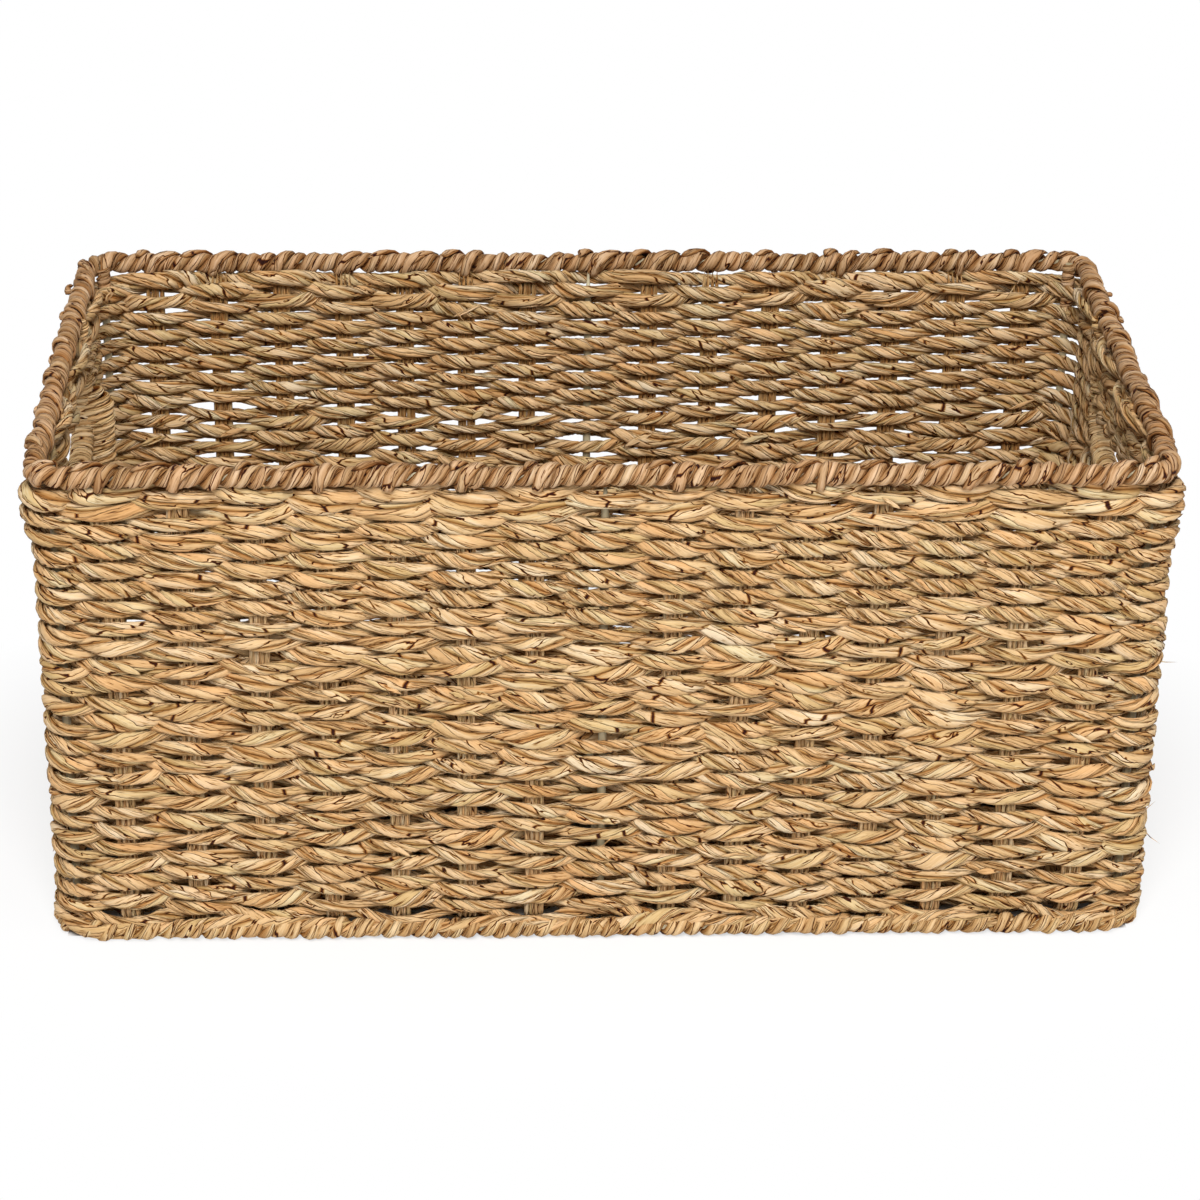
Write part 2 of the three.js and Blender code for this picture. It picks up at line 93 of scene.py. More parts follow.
def corners(node: str) -> tuple[np.ndarray, np.ndarray]:
    """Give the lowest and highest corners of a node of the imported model.

    Args:
        node: the node's name.

    Returns:
        The two corners, in metres.
    """
    low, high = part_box(node)
    return as_vector(low), as_vector(high)


def node_middle(node: str) -> np.ndarray:
    """Return the middle of a node's box, in metres."""
    low, high = corners(node)
    return (low + high) / 2


def between(places: np.ndarray, known: np.ndarray) -> tuple[np.ndarray, np.ndarray]:
    """Find where places are among known ones.

    Args:
        places: the places.
        known: the known places, in rising order.

    Returns:
        The number of the known place before each place, and how far it is from there to the next,
        from 0 to 1.
    """
    before = np.clip(np.searchsorted(known, places, side="right") - 1, 0, len(known) - 2)
    return before, (places - known[before]) / (known[before + 1] - known[before])


def eased(places: np.ndarray, known: np.ndarray, values: np.ndarray) -> np.ndarray:
    """Ease from each known value to the next, as a strand does that passes over and under others.

    Args:
        places: where the values are wanted.
        known: the places of the known values, in rising order.
        values: the known values.

    Returns:
        The value at each place.
    """
    before, share = between(places, known)
    return values[before] + (values[before + 1] - values[before]) * (1 - np.cos(math.pi * share)) / 2


def put_in_scene(name: str, data: bpy.types.ID) -> bpy.types.Object:
    """Make an object and link it to the scene.

    Args:
        name: the object's name.
        data: its mesh, camera or lamp.

    Returns:
        The object.
    """
    thing = bpy.data.objects.new(name, data)
    bpy.context.scene.collection.objects.link(thing)
    return thing


# Sizes and places


@dataclass(frozen=True)
class Layout:
    """Where the basket's pieces are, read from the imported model, in metres."""

    wire_radius: float
    ring_half_length: float
    ring_half_depth: float
    ring_corner_radius: float
    top_ring_z: float
    bottom_ring_z: float
    wall_half_length: float
    wall_half_depth: float
    wall_corner_radius: float
    base_z: float
    weave_top_z: float
    row_pitch: float
    row_count: int
    stake_x: tuple[float, ...]
    end_stake_y: tuple[float, ...]
    hole_top_z: float
    band_bottom_z: float
    leg_y: float
    bar_z: float
    hole_corner_radius: float

    @classmethod
    def from_frame(cls) -> "Layout":
        """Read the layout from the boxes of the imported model's nodes.

        Returns:
            The layout.
        """
        wire_radius = 0.00175
        weld_gap = 0.0003
        corner_radius = 0.016
        row_count = 23
        rows_above_bar = 7
        low, high = corners("top_rim_wire")
        ring_half_length = (high[0] - low[0]) / 2 - wire_radius
        ring_half_depth = (high[1] - low[1]) / 2 - wire_radius
        bottom = node_middle("bottom_rim_wire")
        inset = 2 * wire_radius + weld_gap
        first = node_middle("weaver_row_01")
        last = node_middle(f"weaver_row_{row_count:02d}")
        pitch = (first[2] - last[2]) / (row_count - 1)
        stakes = [float(node_middle(f"cross_stake_{number:02d}")[0]) for number in range(1, 15)]
        ends = [float(node_middle(f"length_stake_{number}")[1]) for number in range(1, 7)]
        bar_low, bar_high = corners("left_handle_wire")
        return cls(
            wire_radius=wire_radius,
            ring_half_length=ring_half_length,
            ring_half_depth=ring_half_depth,
            ring_corner_radius=corner_radius,
            top_ring_z=(low[2] + high[2]) / 2,
            bottom_ring_z=bottom[2],
            wall_half_length=ring_half_length - inset,
            wall_half_depth=ring_half_depth - inset,
            wall_corner_radius=corner_radius - inset,
            base_z=bottom[2] + inset,
            weave_top_z=first[2] + pitch / 2,
            row_pitch=pitch,
            row_count=row_count,
            stake_x=tuple(stakes),
            end_stake_y=tuple(ends),
            hole_top_z=corners("left_front_short_stake")[0][2],
            band_bottom_z=first[2] + pitch / 2 - rows_above_bar * pitch,
            leg_y=(bar_high[1] - bar_low[1]) / 2 - wire_radius,
            bar_z=bar_low[2] + wire_radius,
            hole_corner_radius=0.022,
        )

    def crossings(self) -> list[float]:
        """Return the places of the front wall's uprights: the stakes and the bare post between them."""
        return sorted([*self.stake_x, 0.0])

    def ring_line(self, corner_radius: float) -> "Perimeter":
        """Return the line of the two ring wires, with corners of this radius."""
        return Perimeter(self.ring_half_length, self.ring_half_depth, corner_radius)

    def wall_line(self) -> "Perimeter":
        """Return the line of the middle of the walls."""
        return Perimeter(self.wall_half_length, self.wall_half_depth, self.wall_corner_radius)


@dataclass(frozen=True)
class Perimeter:
    """A rectangle with round corners, measured along its line from the middle of the front."""

    half_length: float
    half_depth: float
    corner_radius: float

    def sides(self) -> list[tuple[float, float, float, float, float]]:
        """List the line's parts, from the middle of the front, counter-clockwise from above.

        Returns:
            For each part its length, its start or the centre of its corner (x, y), its heading, and
            its radius, or 0 for a straight part.
        """
        half_x = self.half_length - self.corner_radius
        half_y = self.half_depth - self.corner_radius
        turn = math.pi / 2 * self.corner_radius
        parts = [(half_x, 0.0, -self.half_depth, 0.0, 0.0)]
        walls = [
            (2 * half_y, self.half_length, -half_y, 1),
            (2 * half_x, half_x, self.half_depth, 2),
            (2 * half_y, -self.half_length, half_y, 3),
            (half_x, -half_x, -self.half_depth, 4),
        ]
        centres = [(half_x, -half_y), (half_x, half_y), (-half_x, half_y), (-half_x, -half_y)]
        for (size, x, y, quarter), (centre_x, centre_y) in zip(walls, centres):
            parts.append((turn, centre_x, centre_y, (quarter - 1) * math.pi / 2, self.corner_radius))
            parts.append((size, x, y, quarter * math.pi / 2, 0.0))
        return parts

    @property
    def length(self) -> float:
        """Return the length of the whole line."""
        return sum(part[0] for part in self.sides())

    def front(self, x: float) -> float:
        """Return the place on the line of a point of the front wall."""
        return x

    def right(self, y: float) -> float:
        """Return the place on the line of a point of the right wall."""
        parts = self.sides()
        return parts[0][0] + parts[1][0] + y + self.half_depth - self.corner_radius

    def back(self, x: float) -> float:
        """Return the place on the line of a point of the back wall."""
        return self.length / 2 - x

    def left(self, y: float) -> float:
        """Return the place on the line of a point of the left wall."""
        return self.length - self.right(y)

    def corner(self, quarter: int) -> float:
        """Return the place of the middle of a corner: 0 front right, 1 back right, and so on."""
        parts = self.sides()
        return sum(part[0] for part in parts[:2 * quarter + 1]) + parts[1][0] / 2

    def locate(self, places: np.ndarray) -> tuple[np.ndarray, np.ndarray]:
        """Find points of the line and the ways out of it.

        Args:
            places: distances along the line.

        Returns:
            The points and the unit vectors that point outwards, both at z 0.
        """
        places = np.mod(places, self.length)
        points = np.zeros((len(places), 3))
        outward = np.zeros((len(places), 3))
        start = 0.0
        for size, x, y, heading, radius in self.sides():
            chosen = (places >= start) & (places <= start + size + 1e-9)
            run = places[chosen] - start
            if radius:
                angle = heading - math.pi / 2 + run / radius
                way = np.stack([np.cos(angle), np.sin(angle), 0 * angle], axis=1)
                points[chosen] = np.array([x, y, 0.0]) + radius * way
                outward[chosen] = way
            else:
                step = np.array([math.cos(heading), math.sin(heading), 0.0])
                points[chosen] = np.array([x, y, 0.0]) + run[:, None] * step
                outward[chosen] = np.array([math.sin(heading), -math.cos(heading), 0.0])
            start += size
        return points, outward


@dataclass(frozen=True)
class Settle:
    """How the soft end walls have spread outwards, beside the straight walls of the model."""

    layout: Layout
    left: float = 0.0020
    right: float = 0.0036
    left_corner: float = 0.0040
    right_corner: float = 0.0030
    foot: Pair = (0.0, 0.012)
    wall_fade: Pair = (-0.008, 0.003)
    corner_start: Pair = (-0.036, -0.014)
    corner_fade: Pair = (-0.005, 0.003)
    front_shares: Pair = (0.5, 0.9)
    end_shares: Pair = (0.6, 0.93)

    def rise(self, values: np.ndarray, low: float, high: float) -> np.ndarray:
        """Return a smooth rise, from 0 at the low value to 1 at the high one."""
        share = np.clip((values - low) / (high - low), 0.0, 1.0)
        return share * share * (3 - 2 * share)

    def below_rim(self, heights: np.ndarray, limits: Pair) -> np.ndarray:
        """Return a smooth rise between two heights that count from the top of the weave."""
        top = self.layout.weave_top_z
        return self.rise(heights, top + limits[0], top + limits[1])

    def move(self, points: np.ndarray) -> None:
        """Move points of the end walls outwards, except at the rim and at the floor.

        Args:
            points: the points, which are changed.
        """
        z = points[:, 2]
        near, far = (share * self.layout.wall_half_depth for share in self.front_shares)
        front = self.rise(-points[:, 1], near, far)
        wall = self.rise(z, *self.foot) * (1 - self.below_rim(z, self.wall_fade))
        corner = front * self.below_rim(z, self.corner_start) * (1 - self.below_rim(z, self.corner_fade))
        near, far = (share * self.layout.wall_half_length for share in self.end_shares)
        ends = ((-1, self.left, self.left_corner), (1, self.right, self.right_corner))
        for side, spread, extra in ends:
            end = self.rise(side * points[:, 0], near, far)
            points[:, 0] += side * end * (spread * wall + extra * corner)


# Strands


class Drift:
    """Slow, seeded variation along a strand, which closes on itself."""

    layers: int = 5
    usual_sum: float = 2.2

    def __init__(self, seed: int) -> None:
        """Start the seeded random numbers."""
        self.random = np.random.default_rng(int(seed))

    def wander(self, shares: np.ndarray, waves: float, reach: float) -> np.ndarray:
        """Make a smooth wander about zero.

        Args:
            shares: places along the strand, from 0 to 1.
            waves: how many waves there are on the whole strand, about.
            reach: how far it goes from zero, about.

        Returns:
            The value at each place.
        """
        total = np.zeros(len(shares))
        for _ in range(self.layers):
            count = max(1, round(waves * self.random.uniform(0.5, 1.5)))
            shift = self.random.uniform(0.0, 2 * math.pi)
            total += np.sin(2 * math.pi * count * shares + shift) * self.random.uniform(0.5, 1.0)
        return total * reach / self.usual_sum

    def about(self, middle: float, spread: float) -> float:
        """Return a random number near the middle."""
        return float(middle + self.random.uniform(-spread, spread))


@dataclass
class StrandPath:
    """The middle line of a strand, with the way that its flat side faces at each point."""

    points: np.ndarray
    facing: np.ndarray
    closed: bool = False

    def travel(self) -> np.ndarray:
        """Find the direction of travel at each point.

        Returns:
            Unit vectors.
        """
        steps = np.gradient(self.points, axis=0)
        if self.closed:
            ends = self.points[1] - self.points[-2]
            steps[0] = ends
            steps[-1] = ends
        return steps / np.maximum(np.linalg.norm(steps, axis=1, keepdims=True), 1e-12)

    def axes(self) -> tuple[np.ndarray, np.ndarray]:
        """Find the two axes of the section at each point.

        Returns:
            The way that the strand faces, squared to its travel, and the way across it.
        """
        travel = self.travel()
        face = self.facing - travel * np.sum(self.facing * travel, axis=1, keepdims=True)
        face /= np.maximum(np.linalg.norm(face, axis=1, keepdims=True), 1e-12)
        return face, np.cross(travel, face)

    def distances(self) -> np.ndarray:
        """Measure the distance along the line to each point.

        Returns:
            Distances in metres.
        """
        steps = np.linalg.norm(np.diff(self.points, axis=0), axis=1)
        return np.concatenate([[0.0], np.cumsum(steps)])


class StrandBundle:
    """Gathers swept strands into one mesh, with a map in metres and three values for its material: tone,
    lot, and the crease value that sets its painted shade.
    """

    grids: dict[tuple[int, int], bpy.types.Mesh] = {}
    lowest_z: float = 0.0002
    taper_steps: float = 2.0
    weld_distance: float = 1e-6

    def __init__(self, name: str, sides: int, settle: Settle | None = None) -> None:
        """Start an empty bundle.

        Args:
            name: the name of the piece that it becomes.
            sides: the number of sides of its strands.
            settle: how it settles with the walls, if it does.
        """
        self.name = name
        self.sides = sides
        self.settle = settle
        self.mesh_parts: list[bpy.types.Mesh] = []
        self.random = np.random.default_rng(sum(name.encode()))

    def grid(self, steps: int) -> bpy.types.Mesh:
        """Make the flat grid that a strand is rolled from, or find it again.

        Args:
            steps: the number of steps along the strand.

        Returns:
            A mesh that isn't to be changed.
        """
        key = (steps, self.sides)
        if key not in self.grids:
            sheet = bmesh.new()
            sheet.loops.layers.uv.new(STRAND_MAP)
            bmesh.ops.create_grid(
                sheet, x_segments=steps, y_segments=self.sides, size=0.5, calc_uvs=True)
            mesh = bpy.data.meshes.new("strand_grid")
            sheet.to_mesh(mesh)
            sheet.free()
            self.grids[key] = mesh
        return self.grids[key]

    def add(self, path: StrandPath, centre: np.ndarray, first: np.ndarray, second: np.ndarray,
            tone: np.ndarray | float) -> None:
        """Sweep an oval section along a path.

        Args:
            path: the line that the strand follows.
            centre: the section's middle at each point of the line.
            first: the section's first half axis at each point, which points away from the crease, where
                the material paints shade.
            second: the other half axis.
            tone: the strand's own shade, from 0 to 1, for the whole of it or at each point.
        """
        steps = len(centre) - 1
        mesh = self.grid(steps).copy()
        count = steps + 1
        angles = np.linspace(0.0, 2 * math.pi, self.sides + 1) - math.pi
        angles[-1] = angles[0]
        taper = np.ones(count)
        if not path.closed:
            ease = np.minimum(np.arange(count), np.arange(count)[::-1]) / self.taper_steps
            taper = np.sqrt(1.0 - np.clip(1.0 - ease, 0.0, 1.0) ** 2)
        rings = [
            centre + (first * math.cos(angle) + second * math.sin(angle)) * taper[:, None]
            for angle in angles
        ]
        coordinates = np.stack(rings, axis=0)
        if path.closed:
            coordinates[:, -1] = coordinates[:, 0]
        mesh.vertices.foreach_set("co", coordinates.reshape(-1))
        along = path.distances()
        half_axes = np.linalg.norm(first, axis=1) + np.linalg.norm(second, axis=1)
        girth = math.pi * float(np.mean(half_axes))
        places = np.zeros(len(mesh.loops) * 2)
        layer = mesh.uv_layers[STRAND_MAP]
        layer.data.foreach_get("uv", places)
        places = places.reshape(-1, 2)
        index = np.clip(np.round(places[:, 0] * steps).astype(int), 0, steps)
        places[:, 0] = along[index]
        places[:, 1] *= girth
        layer.data.foreach_set("uv", places.reshape(-1))
        tones = np.broadcast_to(np.asarray(tone, dtype=float), (count,))
        # Crease value: 0 where the first axis points, 1 opposite; the material paints shade from it.
        creases = np.repeat((1.0 - np.cos(angles)) / 2, count)
        lots = np.full(count * (self.sides + 1), self.random.random())
        table = {TONE: np.tile(tones, self.sides + 1), CREASE: creases, LOT: lots}
        for label, values in table.items():
            store = mesh.attributes.new(label, "FLOAT", "POINT")
            store.data.foreach_set("value", np.ascontiguousarray(values, dtype=np.float32))
        self.mesh_parts.append(mesh)

    def add_flat(self, path: StrandPath, half_thickness: np.ndarray | float,
                 half_width: np.ndarray | float, tone: np.ndarray | float) -> None:
        """Sweep a single strand that lies flat on what it is wound round.

        Args:
            path: the line that the strand follows.
            half_thickness: half the strand's thickness, along the way that it faces.
            half_width: half the strand's width.
            tone: the strand's own shade.
        """
        face, across = path.axes()
        count = len(path.points)
        thick = np.broadcast_to(np.asarray(half_thickness, dtype=float), (count,))[:, None]
        wide = np.broadcast_to(np.asarray(half_width, dtype=float), (count,))[:, None]
        self.add(path, path.points, face * thick, across * wide, tone)

    def finish(self) -> bpy.types.Object:
        """Weld the strands into one object and put it in the scene.

        Returns:
            The object, at the origin.
        """
        body = bmesh.new()
        for mesh in self.mesh_parts:
            body.from_mesh(mesh)
            bpy.data.meshes.remove(mesh)
        bmesh.ops.remove_doubles(body, verts=body.verts, dist=self.weld_distance)
        bmesh.ops.recalc_face_normals(body, faces=body.faces)
        for face in body.faces:
            face.smooth = True
        mesh = bpy.data.meshes.new(self.name)
        body.to_mesh(mesh)
        body.free()
        points = np.zeros(len(mesh.vertices) * 3)
        mesh.vertices.foreach_get("co", points)
        points = points.reshape(-1, 3)
        if self.settle:
            self.settle.move(points)
        points[:, 2] = np.maximum(points[:, 2], self.lowest_z)
        mesh.vertices.foreach_set("co", points.reshape(-1))
        return put_in_scene(self.name, mesh)


@dataclass(frozen=True)
class TwistedCord:
    """A cord of two plies, which is flattened as it lies in the weave."""

    lay: float = 0.032
    ply_place: float = 0.43
    ply_reach: float = 0.56
    ply_width: float = 0.88
    unevenness: float = 1.45
    uneven_length: float = 0.08
    tone_waves: tuple[Pair, ...] = ((0.12, 0.16), (0.03, 0.1))

    def add_to(self, bundle: StrandBundle, path: StrandPath, thickness: np.ndarray, height: np.ndarray,
               drift: Drift, tones: Pair, calm: np.ndarray | float = 0.0,
               hand: float = 1.0) -> None:
        """Sweep both plies along a path.

        Args:
            bundle: where the plies go.
            path: the cord's middle line.
            thickness: the cord's thickness at each point, the way that it faces.
            height: the cord's height at each point, across the wall.
            drift: the seeded variation.
            tones: the shades of the two plies.
            calm: how far the twist is let out at each point, from 0 to 1.
            hand: 1 for the usual lay, -1 for the other.
        """
        face, across = path.axes()
        along = path.distances()
        shares = along / along[-1]
        rate = 1.0 - np.broadcast_to(np.asarray(calm, dtype=float), shares.shape)
        turned = np.concatenate([[0.0], np.cumsum((rate[1:] + rate[:-1]) / 2 * np.diff(along))])
        turns = max(1, round(turned[-1] / self.lay))
        phase = 2 * math.pi * turns * turned / turned[-1] + drift.about(0.0, math.pi)
        phase = phase + drift.wander(shares, along[-1] / self.uneven_length, self.unevenness) * rate
        for ply, tone in enumerate(tones):
            angle = hand * phase + ply * math.pi
            cos = np.cos(angle)[:, None]
            sin = np.sin(angle)[:, None]
            out = face * (thickness / 2)[:, None]
            up = across * (height / 2)[:, None]
            centre = path.points + self.ply_place * (out * cos + up * sin)
            first = self.ply_reach * (out * cos + up * sin)
            second = self.ply_width * (up * cos - out * sin)
            shade = np.full(len(shares), tone)
            for wave_length, reach in self.tone_waves:
                shade = shade + drift.wander(shares, along[-1] / wave_length, reach)
            bundle.add(path, centre, first, second, np.clip(shade, 0.0, 1.0))


# Finishes


class Channel:
    """A number socket of a material, whose arithmetic adds Math nodes."""

    def __init__(self, nodes: "NodeMaker", socket: bpy.types.NodeSocket) -> None:
        """Wrap a socket."""
        self.nodes = nodes
        self.socket = socket

    def combine(self, operation: str, first: Any, second: Any) -> "Channel":
        """Add a Math node.

        Args:
            operation: the Math node's operation.
            first: its first value, a channel or a number.
            second: its second value.

        Returns:
            The result.
        """
        node = self.nodes.make("ShaderNodeMath", {"operation": operation}, {0: first, 1: second})
        return Channel(self.nodes, node.outputs[0])

    def __add__(self, other: Any) -> "Channel":
        """Return self + other."""
        return self.combine("ADD", self, other)

    def __radd__(self, other: Any) -> "Channel":
        """Return other + self."""
        return self.combine("ADD", other, self)

    def __sub__(self, other: Any) -> "Channel":
        """Return self - other."""
        return self.combine("SUBTRACT", self, other)

    def __rsub__(self, other: Any) -> "Channel":
        """Return other - self."""
        return self.combine("SUBTRACT", other, self)

    def __mul__(self, other: Any) -> "Channel":
        """Return self * other."""
        return self.combine("MULTIPLY", self, other)

    def __rmul__(self, other: Any) -> "Channel":
        """Return other * self."""
        return self.combine("MULTIPLY", other, self)

    def __pow__(self, other: Any) -> "Channel":
        """Return self ** other."""
        return self.combine("POWER", self, other)

    def at_most(self, limit: Any) -> "Channel":
        """Return self, or the limit where self is above it."""
        return self.combine("MINIMUM", self, limit)

    def at_least(self, limit: Any) -> "Channel":
        """Return self, or the limit where self is below it."""
        return self.combine("MAXIMUM", self, limit)

    def beyond(self, limit: Any) -> "Channel":
        """Return 1 where self is further than the limit from 0, and 0 elsewhere."""
        return self.combine("GREATER_THAN", self.combine("ABSOLUTE", self, 0.0), limit)


class NodeMaker:
    """Makes the nodes of one material or world."""

    def __init__(self, owner: bpy.types.Material | bpy.types.World) -> None:
        """Turn on the owner's nodes and clear them.

        Args:
            owner: the material or world.
        """
        owner.use_nodes = True
        self.tree = owner.node_tree
        self.tree.nodes.clear()

    def make(self, kind: str, settings: dict[str, Any], inputs: dict[Any, Any]) -> bpy.types.Node:
        """Add a node, set it up and connect its inputs.

        Args:
            kind: the node's type.
            settings: its properties; the name stops gives the stops of a colour ramp.
            inputs: a number, a colour, a socket or a channel for each input, by name or by place.

        Returns:
            The node.
        """
        node = self.tree.nodes.new(kind)
        for name, value in settings.items():
            if name == "stops":
                self.set_stops(node, value)
            else:
                setattr(node, name, value)
        for name, value in inputs.items():
            socket = node.inputs[name]
            if isinstance(value, Channel):
                self.tree.links.new(value.socket, socket)
            elif isinstance(value, bpy.types.NodeSocket):
                self.tree.links.new(value, socket)
            else:
                socket.default_value = value
        return node

    def set_stops(self, node: bpy.types.Node, stops: list[tuple[float, Colour]]) -> None:
        """Give a ramp its stops.

        Args:
            node: the ramp's node.
            stops: places from 0 to 1 and linear colours.
        """
        ramp = node.color_ramp
        while len(ramp.elements) < len(stops):
            ramp.elements.new(1.0)
        for element, (place, colour) in zip(ramp.elements, stops):
            element.position = place
            element.color = (*colour, 1.0)

    def value(self, kind: str, settings: dict[str, Any], inputs: dict[Any, Any],
              output: Any = 0) -> Channel:
        """Return one output of a new node as a channel."""
        return Channel(self, self.make(kind, settings, inputs).outputs[output])

    def mix(self, blend: str, share: Any, first: Any, second: Any) -> bpy.types.NodeSocket:
        """Mix two colours.

        Args:
            blend: how they are mixed, such as MIX or MULTIPLY.
            share: how much of the second colour there is.
            first: a colour or a socket.
            second: the other.

        Returns:
            The mixed colour's socket.
        """
        settings = {"data_type": "RGBA", "blend_type": blend, "clamp_factor": True}
        node = self.make("ShaderNodeMix", settings, {0: share, 6: first, 7: second})
        return node.outputs[2]

    def strand_places(self) -> tuple[Channel, Channel]:
        """Give the distance along the strand and the distance round it.

        Returns:
            Both, in metres.
        """
        place = self.make("ShaderNodeUVMap", {"uv_map": STRAND_MAP}, {})
        parts = self.make("ShaderNodeSeparateXYZ", {}, {0: place.outputs[0]})
        return Channel(self, parts.outputs[0]), Channel(self, parts.outputs[1])

    def noise(self, x: Any, y: Any, z: Any, detail: float, roughness: float) -> Channel:
        """Make noise over three coordinates.

        Args:
            x: the first coordinate, in waves.
            y: the second.
            z: the third.
            detail: the number of finer layers.
            roughness: how strong the finer layers are.

        Returns:
            Noise about 0.5.
        """
        place = self.make("ShaderNodeCombineXYZ", {}, {0: x, 1: y, 2: z})
        inputs = {"Vector": place.outputs[0], "Scale": 1.0, "Detail": detail, "Roughness": roughness}
        return self.value("ShaderNodeTexNoise", {"noise_dimensions": "3D"}, inputs)

    def cells(self, x: Any, y: Any, feature: str, output: str) -> bpy.types.NodeSocket:
        """Split a surface into cells, such as the leaves of a strand.

        Args:
            x: the first coordinate, in cells.
            y: the second.
            feature: the Voronoi texture's feature, such as F1 or DISTANCE_TO_EDGE.
            output: the name of the output.

        Returns:
            The output's socket.
        """
        place = self.make("ShaderNodeCombineXYZ", {}, {0: x, 1: y})
        settings = {"voronoi_dimensions": "2D", "feature": feature}
        node = self.make("ShaderNodeTexVoronoi", settings, {"Vector": place.outputs[0], "Scale": 1.0})
        return node.outputs[output]

    def surface(self, inputs: dict[str, Any]) -> None:
        """End a material with its shader.

        Args:
            inputs: the shader's inputs by name.
        """
        shader = self.make("ShaderNodeBsdfPrincipled", {}, inputs)
        self.make("ShaderNodeOutputMaterial", {}, {0: shader.outputs[0]})


@dataclass(frozen=True)
class Grain:
    """Noise that is stretched along a strand and differs from strand to strand."""

    along: float
    around: float
    lot: float
    start: float = 0.0
    detail: float = 1.0
    roughness: float = 0.5

    def build(self, nodes: NodeMaker, along: Channel, around: Channel, lot: Channel) -> Channel:
        """Make the noise.

        Args:
            nodes: makes the nodes.
            along: the distance along the strand.
            around: the distance round the strand.
            lot: the strand's own number, from 0 to 1.

        Returns:
            Noise about 0.5.
        """
        third = lot * self.lot + self.start
        return nodes.noise(
            along * self.along, around * self.around, third, self.detail, self.roughness)


class Shade(Enum):
    """The part of the basket that a length of seagrass is on."""

    WEAVE = "weave"
    STAKE = "stake"
    RIM = "rim"
    BAR = "bar"
    BORDER = "border"


